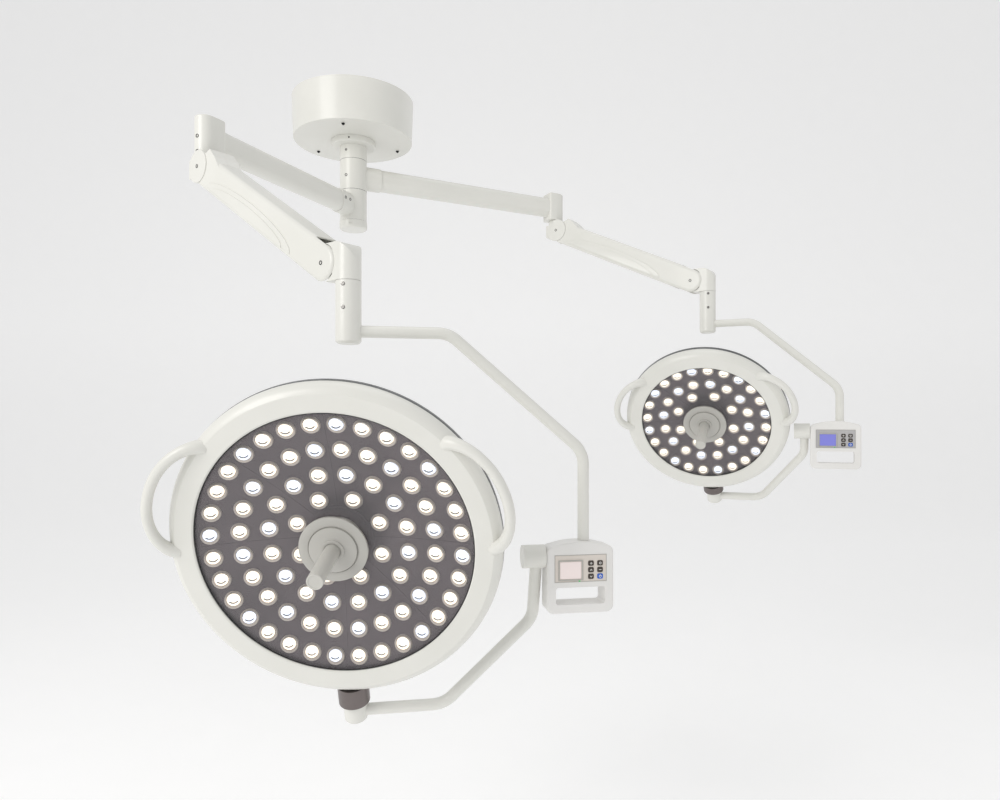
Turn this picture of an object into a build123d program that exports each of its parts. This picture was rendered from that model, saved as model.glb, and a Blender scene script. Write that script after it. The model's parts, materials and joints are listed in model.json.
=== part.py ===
"""Ceiling-mounted surgical light: one column, two jointed arms, a large and a small LED lamp head.

Units are millimetres. The origin is where the column's axis meets the ceiling, +Z is up, and the
user stands on the -Y side. Each piece is modelled in a local frame of its own joint or seat, and is
then set down by the plane of that joint in the resting pose.
"""

import os
from math import cos, radians, sin, sqrt
from types import SimpleNamespace

from build123d import *

os.makedirs("parts", exist_ok=True)

# ---- Fits -------------------------------------------------------------------------------------
RUNNING = 0.05  # radial gap of a shaft that turns in its bore
SLIP = 0.3  # gap between faces that pass each other or are only assembled together
SEAM = 0.6  # visible joint line between two turning pieces

# ---- Ceiling mount ----------------------------------------------------------------------------
PLATE_D = 300.0
PLATE_T = 12.0
BOLT_CIRCLE_D = 250.0
BOLT_HOLE_D = 13.0
BOLT_COUNT = 6
COLUMN_D = 93.0
CABLE_BORE_D = 38.0
SPINDLE_D = 60.0
COLUMN_LENGTH = 210.0  # ceiling to the first hub
HUB_HEIGHT = 106.0
BUSH_WALL = 4.0
BUSH_HEIGHT = 16.0
BUSH_FLANGE_D = 80.0
BUSH_FLANGE_T = 3.0

CANOPY_TOP_D = 418.0
CANOPY_BOTTOM_D = 408.0
CANOPY_DEPTH = 141.0
CANOPY_WALL = 2.5
CANOPY_SCREW_CIRCLE_D = 330.0
CANOPY_SCREW_HOLE_D = 7.0
COLLAR_D = 152.0
COLLAR_T = 20.0
SET_SCREW_HOLE_D = 6.0

END_CAP_D = 96.0
END_CAP_HEIGHT = 28.0
END_CAP_EDGE = 8.0

# ---- Horizontal arms --------------------------------------------------------------------------
ARM_TUBE_HEIGHT = 76.0
ARM_TUBE_WIDTH = 52.0
ARM_TUBE_WALL = 4.0
SOCKET_WALL = 3.0
SOCKET_REACH = 96.0  # hub axis to the mouth of the hub's arm socket
ARM_TUBE_START = 50.0  # hub axis to the seated end of the tube
ELBOW_D = 56.0
ELBOW_ABOVE = 56.0  # arm axis to the top of the elbow
ELBOW_SADDLE = 40.0
ELBOW_SADDLE_WIDTH = 60.0
ELBOW_TUBE_SEAT = 20.0  # elbow axis to the seated end of the tube
ELBOW_ROOF = 10.0
ELBOW_EDGE = 5.0
SPINDLE_PIN_D = 34.0

# ---- Spring arms ------------------------------------------------------------------------------
SPRING_ARM_LENGTH = 612.0  # pivot to pivot
ROOT_DROP = 29.5  # elbow's lower face to the lift pivot
ROOT_OFFSET = 22.0  # elbow axis to the lift pivot
KNUCKLE_OFFSET = 52.0  # knuckle pivot to the yoke axis
ARM_HALF_HEIGHT = 41.0
ARM_HALF_WIDTH = 33.0
ARM_SHELL_WALL = 3.0
EAR_RADIUS = 42.5
EAR_T = 7.5
CHEEK_T = 5.0
NECK_RADIUS = 24.0
NECK_HALF_HEIGHT = 21.0
PIVOT_PIN_D = 18.0
KNUCKLE_CROWN = 40.0
ROD_OFFSET = 22.0  # lift pivot to the levelling rod's pivot, straight below it
ROD_D = 9.0
ROD_EYE_D = 15.0
ROD_EYE_T = 8.0
ROD_PIN_D = 7.0
SPRING_CAN_D = 24.0
SPRING_CAN_LENGTH = 330.0

# ---- Yokes ------------------------------------------------------------------------------------
SOCKET_D = 55.0
YOKE_TUBE_D = 26.0
YOKE_TUBE_WALL = 2.5
YOKE_BEND = 62.0
SOCKET_PIN_D = 30.0
SOCKET_PIN_LENGTH = 88.0
SOCKET_CHAMFER = 5.0
TEE_D = 52.0
TEE_LENGTH = 50.0
TEE_PIN_D = 30.0
TEE_PIN_LENGTH = 44.0
TEE_TO_TUBE = 32.5  # inner end of the tee sleeve to the lower tube's axis
LOWER_TUBE_D = 27.0
PIVOT_SOCKET_D = 52.0
PIVOT_SOCKET_ABOVE = 24.0
PIVOT_SOCKET_BELOW = 20.0
PIVOT_PIN_LENGTH = 30.0
LAMP_PIN_D = 20.0

# ---- Control box ------------------------------------------------------------------------------
BOX_LEFT = 90.0  # yoke tube to the box's left side
BOX_RIGHT = 63.0
BOX_HEIGHT = 150.0
BOX_ARCH = 9.0
BOX_DEPTH = 54.0
BOX_CORNER = 16.0
BOX_TOP_TO_TEE = 25.0  # shoulder of the box to the tee axis
FACE_WIDTH = 119.0
FACE_HEIGHT = 60.0
FACE_T = 2.5
FACE_BELOW_TOP = 20.0
GRIP_WIDTH = 113.0
GRIP_HEIGHT = 38.0
GRIP_BAR = 20.0
GRIP_CORNER = 6.0
CAVITY_DEPTH = 34.0
CAVITY_RIM = 4.0
DISPLAY_WIDTH = 48.0
DISPLAY_HEIGHT = 37.0
DISPLAY_T = 5.0
KEY_WIDTH = 12.6
KEY_HEIGHT = 11.2
KEY_CORNER = 3.0
KEY_PITCH_X = 21.0
KEY_PITCH_Z = 14.7
KEY_PROUD = 1.6
KEY_T = 5.5
KEYS_CENTRE_X = 34.0  # from the middle of the face
DISPLAY_CENTRE_X = -23.0
CONTROLS_DROP = 4.0

# ---- Lamp heads -------------------------------------------------------------------------------
FOCUS = 950.0  # radius of the reflector dish, which is the working distance
LENS_D = 38.5
LENS_BASE_T = 3.0
LENS_DOME = 9.0
LENS_SEAT_Y = -17.0  # front surface of the dish at the outermost ring of lenses
REFLECTOR_T = 2.5
WINDOW_T = 3.5
WINDOW_LAP = 10.0  # how far the window reaches behind the bezel
BEZEL_WIDTH = 58.0
BEZEL_T = 3.0
BEZEL_FRONT_Y = -42.0
BEZEL_DISH = 4.0  # how far the bezel's inner lip lies behind its front
RIM_Y = -10.0  # back edge of the bezel
BAND_T = 12.0
SHELL_BACK_Y = 62.0
SHELL_WALL = 3.0
SHELL_FLAT_SHARE = 0.36
BOSS_D = 140.0
BOSS_STEP_D = 98.0
BOSS_FRONT_Y = -46.0
BOSS_STEP = 6.0
HANDLE_D = 33.0
HANDLE_LENGTH = 128.0
HANDLE_WALL = 4.0
HANDLE_SPIGOT_LENGTH = 70.0
GRIP_TUBE_D = 22.0
GRIP_BOW = 52.0
GRIP_HALF_SPAN = 20.5
GRIP_RISE = 20.0  # degrees above the horizontal to the middle of a side grip
GRIP_SHOULDER = 5.5
LAMP_COLLAR_D = 70.0

# ---- The two lamps ----------------------------------------------------------------------------
large = SimpleNamespace(
    name="large",
    hub_index=1,
    arm_length=674.0,
    arm_azimuth=-113.3,
    elbow_below=58.0,
    spring_azimuth=-39.5,
    spring_pitch=-31.8,
    socket_length=134.0,
    yoke_azimuth=10.1,
    yoke_tube_drop=107.0,
    yoke_shoulder=214.5,
    yoke_reach=519.0,
    yoke_bend_drop=368.0,
    tee_drop=600.0,
    yoke_roll=16.0,
    lower_knee=154.0,
    lower_shoulder=214.0,
    lower_drop=369.0,
    pivot_offset=13.0,
    lamp_lean=4.6,
    lamp_rise=51.0,
    lamp_turn=12.0,
    lamp_radius=350.0,
    rings=(95.5, 150.0, 208.0, 266.0),
)
small = SimpleNamespace(
    name="small",
    hub_index=0,
    arm_length=835.0,
    arm_azimuth=27.5,
    elbow_below=66.0,
    spring_azimuth=-35.6,
    spring_pitch=-25.4,
    socket_length=146.0,
    yoke_azimuth=-22.5,
    yoke_tube_drop=114.0,
    yoke_shoulder=153.0,
    yoke_reach=423.5,
    yoke_bend_drop=349.0,
    tee_drop=491.0,
    yoke_roll=30.0,
    lower_knee=89.0,
    lower_shoulder=172.0,
    lower_drop=280.0,
    pivot_offset=8.0,
    lamp_lean=2.0,
    lamp_rise=47.0,
    lamp_turn=0.0,
    lamp_radius=275.0,
    rings=(98.0, 145.5, 201.0),
)


# ---- Joint planes in the resting pose ------------------------------------------------------------
def heading(azimuth):
    """Horizontal unit vector at an azimuth, in degrees from +X towards +Y."""
    return Vector(cos(radians(azimuth)), sin(radians(azimuth)), 0)


def set_joint_planes(lamp):
    """Follow the chain from the column to the lamp and keep a plane at each joint."""
    up = Vector(0, 0, 1)
    lamp.hub_middle = -COLUMN_LENGTH - HUB_HEIGHT * (lamp.hub_index + 0.5)
    along = heading(lamp.arm_azimuth)
    lamp.hub = Plane(origin=(0, 0, lamp.hub_middle), x_dir=along, z_dir=up)
    elbow_axis = along * lamp.arm_length + up * lamp.hub_middle

    reach = heading(lamp.spring_azimuth)
    pivot = elbow_axis + reach * ROOT_OFFSET - up * (lamp.elbow_below + ROOT_DROP)
    lamp.elbow = Plane(origin=elbow_axis, x_dir=reach, z_dir=up)
    lamp.root = Plane(origin=pivot, x_dir=reach, z_dir=up)
    pitch = radians(lamp.spring_pitch)
    slope = reach * cos(pitch) + up * sin(pitch)
    rise = up * cos(pitch) - reach * sin(pitch)
    lamp.lift = Plane(origin=pivot, x_dir=slope, z_dir=rise)
    lamp.rod = Plane(origin=pivot - up * ROD_OFFSET, x_dir=slope, z_dir=rise)
    knuckle = pivot + slope * SPRING_ARM_LENGTH
    lamp.knuckle = Plane(origin=knuckle, x_dir=reach, z_dir=up)

    side = heading(lamp.yoke_azimuth)
    back = up.cross(side)
    socket_top = knuckle + reach * KNUCKLE_OFFSET - up * ARM_HALF_HEIGHT
    lamp.yoke = Plane(origin=socket_top, x_dir=side, z_dir=up)
    roll = radians(lamp.yoke_roll)
    tee = socket_top - up * lamp.tee_drop
    rolled_up = up * cos(roll) - back * sin(roll)
    lamp.gimbal = Plane(origin=tee, x_dir=side, z_dir=rolled_up)

    lean = radians(lamp.lamp_lean)
    axis = rolled_up * cos(lean) - side * sin(lean)
    across = side * cos(lean) + rolled_up * sin(lean)
    lower_pivot = tee + side * lamp.pivot_offset - rolled_up * lamp.lower_drop
    lamp.pivot = Plane(origin=lower_pivot, x_dir=across, z_dir=axis)
    lamp.pivot_to_centre = (lamp.lower_drop + lamp.lamp_rise) / cos(lean)
    turn = radians(lamp.lamp_turn)
    facing = across * cos(turn) - axis.cross(across) * sin(turn)
    lamp.head = Plane(origin=lower_pivot + axis * lamp.pivot_to_centre, x_dir=facing, z_dir=axis)


for lamp in (large, small):
    set_joint_planes(lamp)


# ---- Helpers --------------------------------------------------------------------------------------
def save(piece, name, frame=Plane.XY):
    """Set a finished piece down on its plane, label it and write it."""
    placed = frame.from_local_coords(piece.part)
    placed.label = name
    export_step(placed, f"parts/{name}.step")


def bent_path(points, bend):
    """Straight runs joined by tangent arcs, as a bent tube's centre line."""
    with BuildLine() as path:
        FilletPolyline(*points, radius=bend)
    return path.wires()[0]


def cross_section(path):
    """Plane square to a path at its start."""
    return Plane(origin=path @ 0, z_dir=path % 0)


def level(height):
    """Horizontal plane at a height."""
    return Plane.XY.offset(height)


def side_plane(offset=0.0):
    """Plane square to the local Y axis, facing +Y, at an offset along Y."""
    return Plane(origin=(0, offset, 0), x_dir=(-1, 0, 0), z_dir=(0, 1, 0))


def end_plane(offset=0.0):
    """Plane square to the local X axis, facing +X, at an offset along X."""
    return Plane(origin=(offset, 0, 0), x_dir=(0, 1, 0), z_dir=(1, 0, 0))


# ---- Ceiling mount ----------------------------------------------------------------------------
SPINDLE_BOTTOM = COLUMN_LENGTH + 2 * HUB_HEIGHT + 12.0
BUSH_R = SPINDLE_D / 2 + BUSH_WALL


def make_column():
    """Bolting plate, column tube and the spindle that carries both hubs."""
    with BuildPart() as column:
        with BuildSketch(level(-PLATE_T)):
            Circle(PLATE_D / 2)
            with PolarLocations(BOLT_CIRCLE_D / 2, BOLT_COUNT):
                Circle(BOLT_HOLE_D / 2, mode=Mode.SUBTRACT)
        extrude(amount=PLATE_T)
        with BuildSketch(level(-COLUMN_LENGTH)):
            Circle(COLUMN_D / 2)
        extrude(amount=COLUMN_LENGTH - PLATE_T)
        with BuildSketch(level(-SPINDLE_BOTTOM)):
            Circle(SPINDLE_D / 2)
        extrude(amount=SPINDLE_BOTTOM - COLUMN_LENGTH)
        with BuildSketch(level(-SPINDLE_BOTTOM)):
            Circle(CABLE_BORE_D / 2)
        extrude(amount=SPINDLE_BOTTOM, mode=Mode.SUBTRACT)
    save(column, "ceiling_column")


def make_canopy():
    """Thin drum that hides the bolting plate, open to the ceiling."""
    floor_hole = COLUMN_D / 2 + SLIP
    with BuildPart() as canopy:
        with BuildSketch(Plane.XZ):
            with BuildLine():
                Polyline(
                    (floor_hole, -CANOPY_DEPTH),
                    (CANOPY_BOTTOM_D / 2, -CANOPY_DEPTH),
                    (CANOPY_TOP_D / 2, -1.0),
                    (CANOPY_TOP_D / 2 - CANOPY_WALL, -1.0),
                    (CANOPY_BOTTOM_D / 2 - CANOPY_WALL, -CANOPY_DEPTH + CANOPY_WALL),
                    (floor_hole, -CANOPY_DEPTH + CANOPY_WALL),
                    close=True,
                )
            make_face()
        revolve(axis=Axis.Z)
        lower_edge = canopy.edges().group_by(Axis.Z)[0].sort_by(SortBy.LENGTH)[-1]
        fillet(lower_edge, CANOPY_WALL * 0.95)
        with BuildSketch(level(-CANOPY_DEPTH)):
            with PolarLocations(CANOPY_SCREW_CIRCLE_D / 2, 3, start_angle=-90):
                Circle(CANOPY_SCREW_HOLE_D / 2)
        extrude(amount=CANOPY_WALL, mode=Mode.SUBTRACT)
    save(canopy, "canopy_cover")


def make_canopy_collar():
    """Ring that clamps the column under the canopy and carries it."""
    with BuildPart() as collar:
        with BuildSketch(level(-CANOPY_DEPTH - SLIP - COLLAR_T)):
            Circle(COLLAR_D / 2)
            Circle(COLUMN_D / 2 + RUNNING, mode=Mode.SUBTRACT)
        extrude(amount=COLLAR_T)
        outer = collar.faces().filter_by(GeomType.CYLINDER).sort_by(SortBy.AREA)[-1]
        fillet(outer.edges().group_by(Axis.Z)[0], 5.0)
        with BuildSketch(Plane.XZ.offset(COLUMN_D / 2 - 1)):
            with Locations((0, -CANOPY_DEPTH - SLIP - COLLAR_T / 2)):
                Circle(SET_SCREW_HOLE_D / 2)
        extrude(amount=COLLAR_D, mode=Mode.SUBTRACT)
    save(collar, "canopy_collar")


def make_bushes():
    """Four flanged bushes on the spindle, one at each end of each hub."""
    with BuildPart() as bushes:
        for hub in range(2):
            top = -COLUMN_LENGTH - HUB_HEIGHT * hub
            for end, inward in ((top, -1), (top - HUB_HEIGHT, 1)):
                with BuildSketch(level(end)):
                    Circle(BUSH_FLANGE_D / 2)
                    Circle(SPINDLE_D / 2 + RUNNING, mode=Mode.SUBTRACT)
                extrude(amount=inward * (BUSH_FLANGE_T - SLIP / 2))
                with BuildSketch(level(end)):
                    Circle(BUSH_R)
                    Circle(SPINDLE_D / 2 + RUNNING, mode=Mode.SUBTRACT)
                extrude(amount=inward * BUSH_HEIGHT)
    save(bushes, "hub_bushes")


def make_end_cap():
    """Turned cap that closes the spindle and holds the hubs up."""
    top = -COLUMN_LENGTH - 2 * HUB_HEIGHT
    with BuildPart() as cap:
        with BuildSketch(level(top - END_CAP_HEIGHT)):
            Circle(END_CAP_D / 2)
        extrude(amount=END_CAP_HEIGHT - SLIP)
        lowest = cap.edges().group_by(Axis.Z)[0]
        fillet(lowest, END_CAP_EDGE)
        with BuildSketch(level(-SPINDLE_BOTTOM - SLIP)):
            Circle(SPINDLE_D / 2 + RUNNING)
        extrude(amount=END_CAP_HEIGHT, mode=Mode.SUBTRACT)
        with BuildSketch(Plane.XZ.offset(END_CAP_D / 2 - 2.0)):
            with Locations((0, top - END_CAP_HEIGHT / 2)):
                SlotOverall(12.0, 4.0)
        extrude(amount=10.0, mode=Mode.SUBTRACT)
    save(cap, "end_cap")


def make_mount_screws():
    """Three canopy screws and the collar's set screw."""
    with BuildPart() as screws:
        shank = CANOPY_SCREW_HOLE_D / 2 - SLIP
        with PolarLocations(CANOPY_SCREW_CIRCLE_D / 2, 3, start_angle=-90):
            with Locations((0, 0, -CANOPY_DEPTH + CANOPY_WALL / 2)):
                Cylinder(shank, 14.0)
            with Locations((0, 0, -CANOPY_DEPTH - SLIP / 2 - 1.5)):
                Cylinder(CANOPY_SCREW_HOLE_D * 0.8, 3.0 - SLIP)
        with BuildSketch(Plane.XZ.offset(COLUMN_D / 2 + SLIP)):
            with Locations((0, -CANOPY_DEPTH - SLIP - COLLAR_T / 2)):
                Circle(SET_SCREW_HOLE_D / 2 - SLIP)
                RegularPolygon(SET_SCREW_HOLE_D / 4, 6, mode=Mode.SUBTRACT)
        extrude(amount=(COLLAR_D - COLUMN_D) / 2 - 1.5)
    save(screws, "mount_screws")


# ---- Arm from the column to the elbow ---------------------------------------------------------------
def make_hub(lamp):
    """Hub that turns on the spindle, with the socket that takes the arm tube."""
    half = HUB_HEIGHT / 2
    with BuildPart() as hub:
        with BuildSketch(level(-half + SEAM / 2)):
            Circle(COLUMN_D / 2)
        extrude(amount=HUB_HEIGHT - SEAM)
        with BuildSketch(end_plane()):
            SlotOverall(
                ARM_TUBE_HEIGHT + 2 * SOCKET_WALL,
                ARM_TUBE_WIDTH + 2 * SOCKET_WALL,
                rotation=90,
            )
        extrude(amount=SOCKET_REACH)
        mouth = hub.edges().group_by(Axis.X)[-1]
        fillet(mouth, SOCKET_WALL * 0.6)
        with BuildSketch(end_plane(ARM_TUBE_START - SLIP)):
            SlotOverall(ARM_TUBE_HEIGHT + 2 * RUNNING, ARM_TUBE_WIDTH + 2 * RUNNING, rotation=90)
        extrude(amount=SOCKET_REACH, mode=Mode.SUBTRACT)
        with BuildSketch(level(-half)):
            Circle(BUSH_R + RUNNING)
        extrude(amount=HUB_HEIGHT, mode=Mode.SUBTRACT)
        for end, inward in ((half, -1), (-half, 1)):
            with BuildSketch(level(end)):
                Circle(BUSH_FLANGE_D / 2 + SLIP)
            extrude(amount=inward * (BUSH_FLANGE_T + SLIP / 2), mode=Mode.SUBTRACT)
        with BuildSketch(end_plane()):
            Circle(ARM_TUBE_WIDTH / 5)
        extrude(amount=SOCKET_REACH, mode=Mode.SUBTRACT)
    save(hub, f"{lamp.name}_hub", lamp.hub)


def make_extension_arm(lamp):
    """Oval tube from the hub to the elbow, hollow for the cable."""
    with BuildPart() as arm:
        with BuildSketch(end_plane(ARM_TUBE_START)):
            SlotOverall(ARM_TUBE_HEIGHT, ARM_TUBE_WIDTH, rotation=90)
            SlotOverall(
                ARM_TUBE_HEIGHT - 2 * ARM_TUBE_WALL,
                ARM_TUBE_WIDTH - 2 * ARM_TUBE_WALL,
                rotation=90,
                mode=Mode.SUBTRACT,
            )
        extrude(amount=lamp.arm_length - ARM_TUBE_START - ELBOW_TUBE_SEAT)
    save(arm, f"{lamp.name}_extension_arm", lamp.hub)


def make_elbow(lamp):
    """Upright sleeve on the arm's end, with a saddle that takes the tube."""
    bottom = -lamp.elbow_below
    height = ELBOW_ABOVE + lamp.elbow_below - SEAM
    saddle_bottom = bottom + EAR_RADIUS - ROOT_DROP + 2.0
    with BuildPart() as elbow:
        with BuildSketch(level(bottom + SEAM)):
            with Locations((lamp.arm_length, 0)):
                Circle(ELBOW_D / 2)
        extrude(amount=height)
        with BuildSketch(level(saddle_bottom)):
            with Locations((lamp.arm_length, 0)):
                Circle(ELBOW_D / 2)
            with Locations((lamp.arm_length - ELBOW_SADDLE / 2 - 4.0, 0)):
                RectangleRounded(ELBOW_SADDLE, ELBOW_SADDLE_WIDTH, 9.0)
            make_hull()
        extrude(amount=ELBOW_ABOVE - saddle_bottom)
        fillet(elbow.edges().group_by(Axis.Z)[-1], ELBOW_EDGE)
        with BuildSketch(end_plane(lamp.arm_length - ELBOW_SADDLE - 10.0)):
            SlotOverall(ARM_TUBE_HEIGHT + 2 * RUNNING, ARM_TUBE_WIDTH + 2 * RUNNING, rotation=90)
        extrude(amount=ELBOW_SADDLE + 10.0 - ELBOW_TUBE_SEAT + SLIP, mode=Mode.SUBTRACT)
        with BuildSketch(level(bottom)):
            with Locations((lamp.arm_length, 0)):
                Circle(SPINDLE_PIN_D / 2 + RUNNING)
        extrude(amount=ELBOW_ABOVE - ELBOW_ROOF - bottom, mode=Mode.SUBTRACT)
    save(elbow, f"{lamp.name}_elbow", lamp.hub)


# ---- Spring arm -----------------------------------------------------------------------------------
EAR_INNER = ELBOW_D / 2 + SLIP
EAR_OUTER = EAR_INNER + EAR_T
ROD_SLOT = ROD_EYE_T / 2 + 4.0


def make_spring_root(lamp):
    """Fork that turns under the elbow: spindle, two round ears, lift pin and levelling lug."""
    back = -ROOT_OFFSET - ELBOW_D / 2
    spindle_length = lamp.elbow_below + ELBOW_ABOVE - ELBOW_ROOF - 4.0
    with BuildPart() as root:
        with BuildSketch(level(-NECK_RADIUS)):
            with Locations((-ROOT_OFFSET, 0)):
                Circle(ELBOW_D / 2)
        extrude(amount=NECK_RADIUS + ROOT_DROP - SLIP)
        with BuildSketch(level(-NECK_RADIUS)):
            with Locations((back + 13.0, 0)):
                Rectangle(22.0, 2 * EAR_OUTER - 8.0)
        extrude(amount=2 * NECK_RADIUS)
        for lug_side in (-1, 1):
            with BuildSketch(side_plane(lug_side * EAR_INNER)):
                Circle(EAR_RADIUS)
            extrude(amount=lug_side * EAR_T)
        outer_faces = root.faces().filter_by(Axis.Y).sort_by(Axis.Y)
        fillet((outer_faces[0].edges() + outer_faces[-1].edges()), 2.0)
        with BuildSketch(side_plane()):
            Circle(NECK_RADIUS + 1.5)
        extrude(amount=EAR_INNER, both=True, mode=Mode.SUBTRACT)
        with BuildSketch(side_plane()):
            with Locations((-ARM_HALF_HEIGHT, 0)):
                Rectangle(2 * ARM_HALF_HEIGHT, 2 * (NECK_RADIUS + 1.5))
        extrude(amount=EAR_INNER, both=True, mode=Mode.SUBTRACT)
        with BuildSketch(level(ROOT_DROP - SLIP)):
            with Locations((-ROOT_OFFSET, 0)):
                Circle(SPINDLE_PIN_D / 2)
        extrude(amount=spindle_length)
        with BuildSketch(side_plane()):
            Circle(PIVOT_PIN_D / 2)
        extrude(amount=EAR_INNER + 1.0, both=True)
        lug_inner = ROD_EYE_T / 2 + SLIP
        for lug_side in (-1, 1):
            with BuildSketch(side_plane(lug_side * lug_inner)):
                with BuildLine():
                    Polyline(
                        (0, -ROD_OFFSET + 5.5),
                        (-back - 12.0, -6.0),
                        (-back - 12.0, -NECK_RADIUS - 4.0),
                        (0, -ROD_OFFSET - 5.5),
                        close=True,
                    )
                make_face()
                with Locations((0, -ROD_OFFSET)):
                    Circle(5.5)
            extrude(amount=lug_side * (ROD_SLOT - SLIP - lug_inner))
        with BuildSketch(side_plane()):
            with Locations((0, -ROD_OFFSET)):
                Circle(ROD_PIN_D / 2)
        extrude(amount=lug_inner + 1.0, both=True)
    save(root, f"{lamp.name}_spring_root", lamp.root)


def make_arm_cover(lamp):
    """Two structural half shells of the spring arm, split along the middle."""
    length = SPRING_ARM_LENGTH
    height = ARM_HALF_HEIGHT
    with BuildPart() as cover:
        with BuildSketch(Plane.XZ):
            with Locations((length / 2, 0)):
                Rectangle(length, 2 * height)
            with Locations((length, 0)):
                Circle(height)
            with BuildLine():
                Polyline(
                    (18.0, height),
                    (34.0, height + 17.0),
                    (66.0, height + 8.0),
                    (84.0, height),
                    close=True,
                )
            make_face()
            Circle(EAR_RADIUS + SEAM, mode=Mode.SUBTRACT)
        extrude(amount=ARM_HALF_WIDTH, both=True)
        long_edges = cover.edges().filter_by(Axis.X).filter_by(lambda e: e.length > length / 2)
        fillet(long_edges, 11.0)
        with BuildSketch(Plane.XZ):
            with Locations((length / 2, 0)):
                Rectangle(length - 2 * EAR_RADIUS - 12.0, 2 * (height - ARM_SHELL_WALL))
        extrude(amount=ARM_HALF_WIDTH - CHEEK_T, both=True, mode=Mode.SUBTRACT)
        with BuildSketch(Plane.XZ):
            with Locations((length, 0)):
                Rectangle(2 * (EAR_RADIUS + 9.0), 2 * height + 4.0)
        extrude(amount=ARM_HALF_WIDTH - CHEEK_T, both=True, mode=Mode.SUBTRACT)
        with BuildSketch(Plane.XZ):
            Circle(NECK_RADIUS)
            with Locations((EAR_RADIUS / 2 + 6.0, 0)):
                Rectangle(EAR_RADIUS + 12.0, 2 * NECK_HALF_HEIGHT)
        extrude(amount=EAR_INNER - SLIP, both=True)
        with BuildSketch(Plane.XZ):
            with Locations((EAR_RADIUS / 2, 0)):
                Rectangle(EAR_RADIUS + 2 * NECK_RADIUS + 40.0, 3 * NECK_RADIUS)
        extrude(amount=ROD_SLOT, both=True, mode=Mode.SUBTRACT)
        with BuildSketch(Plane.XZ):
            with Locations((0, 0), (length, 0)):
                Circle(PIVOT_PIN_D / 2 + RUNNING)
        extrude(amount=ARM_HALF_WIDTH - 1.5, both=True, mode=Mode.SUBTRACT)
        with BuildSketch(Plane.XZ):
            with Locations((length / 2, 0)):
                Rectangle(2 * length, 6 * height)
        extrude(amount=SLIP / 2, both=True, mode=Mode.SUBTRACT)
    save(cover, f"{lamp.name}_arm_cover", lamp.lift)


def make_levelling_rod(lamp):
    """Rod of the parallelogram that keeps the yoke upright, inside its spring canister."""
    length = SPRING_ARM_LENGTH
    with BuildPart() as rod:
        with BuildSketch(Plane.XZ):
            with Locations((0, 0), (length, 0)):
                Circle(ROD_EYE_D / 2 - 1.0)
        extrude(amount=ROD_EYE_T / 2, both=True)
        with BuildSketch(end_plane(4.0)):
            Rectangle(ROD_EYE_T, ROD_D)
        extrude(amount=length - 8.0)
        with BuildSketch(end_plane((length - SPRING_CAN_LENGTH) / 2)):
            Circle(SPRING_CAN_D / 2)
        extrude(amount=SPRING_CAN_LENGTH)
        can_ends = rod.faces().filter_by(Axis.X).filter_by(lambda f: f.area > SPRING_CAN_D * ROD_D)
        chamfer(can_ends.edges().filter_by(GeomType.CIRCLE), 2.0)
        with BuildSketch(Plane.XZ):
            with Locations((0, 0), (length, 0)):
                Circle(ROD_PIN_D / 2 + RUNNING)
        extrude(amount=ROD_EYE_T, both=True, mode=Mode.SUBTRACT)
    save(rod, f"{lamp.name}_levelling_rod", lamp.rod)


def make_knuckle(lamp):
    """Casting between the spring arm and the yoke, with both its pins and the yoke's spindle."""
    height = ARM_HALF_HEIGHT
    half_width = ARM_HALF_WIDTH - CHEEK_T - SLIP
    right = KNUCKLE_OFFSET + SOCKET_D / 2
    with BuildPart() as knuckle:
        with BuildSketch(Plane.XZ):
            with BuildLine():
                top = height - SLIP / 2
                Line((0, top), (right - KNUCKLE_CROWN, top))
                RadiusArc((right - KNUCKLE_CROWN, top), (right, top - KNUCKLE_CROWN), KNUCKLE_CROWN)
                Line((right, top - KNUCKLE_CROWN), (right, -top))
                Line((right, -top), (0, -top))
                Line((0, -top), (0, top))
            make_face()
            Circle(height + SEAM, mode=Mode.SUBTRACT)
        extrude(amount=half_width, both=True)
        with BuildSketch(level(-height)):
            with Locations((KNUCKLE_OFFSET / 2 - 20.0, 0)):
                Rectangle(KNUCKLE_OFFSET + 40.0, 2 * half_width)
            with Locations((KNUCKLE_OFFSET, 0)):
                Circle(SOCKET_D / 2)
        extrude(amount=2 * height, mode=Mode.INTERSECT)
        with BuildSketch(Plane.XZ):
            Circle(height - 9.0)
            with Locations((height / 2 + 4.0, 0)):
                Rectangle(height + 8.0, 2 * (height - 16.0))
        extrude(amount=half_width, both=True)
        with BuildSketch(Plane.XZ):
            with Locations(((ROD_EYE_D - ARM_HALF_HEIGHT) / 2, 0)):
                Rectangle(ARM_HALF_HEIGHT, 2 * height)
        extrude(amount=ROD_EYE_T / 2 + SLIP, both=True, mode=Mode.SUBTRACT)
        with BuildSketch(Plane.XZ):
            Circle(PIVOT_PIN_D / 2)
        extrude(amount=ARM_HALF_WIDTH - 2.0, both=True)
        with BuildSketch(Plane.XZ):
            with Locations((0, -ROD_OFFSET)):
                Circle(ROD_PIN_D / 2)
        extrude(amount=half_width - 5.0, both=True)
        with BuildSketch(level(-height - SOCKET_PIN_LENGTH)):
            with Locations((KNUCKLE_OFFSET, 0)):
                Circle(SOCKET_PIN_D / 2)
        extrude(amount=SOCKET_PIN_LENGTH + SLIP)
    save(knuckle, f"{lamp.name}_knuckle", lamp.knuckle)


# ---- Upper yoke and control box ------------------------------------------------------------------
def box_shoulder(lamp):
    """Height of the box's shoulder below the top of the yoke's socket."""
    return -lamp.tee_drop + BOX_TOP_TO_TEE


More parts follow.
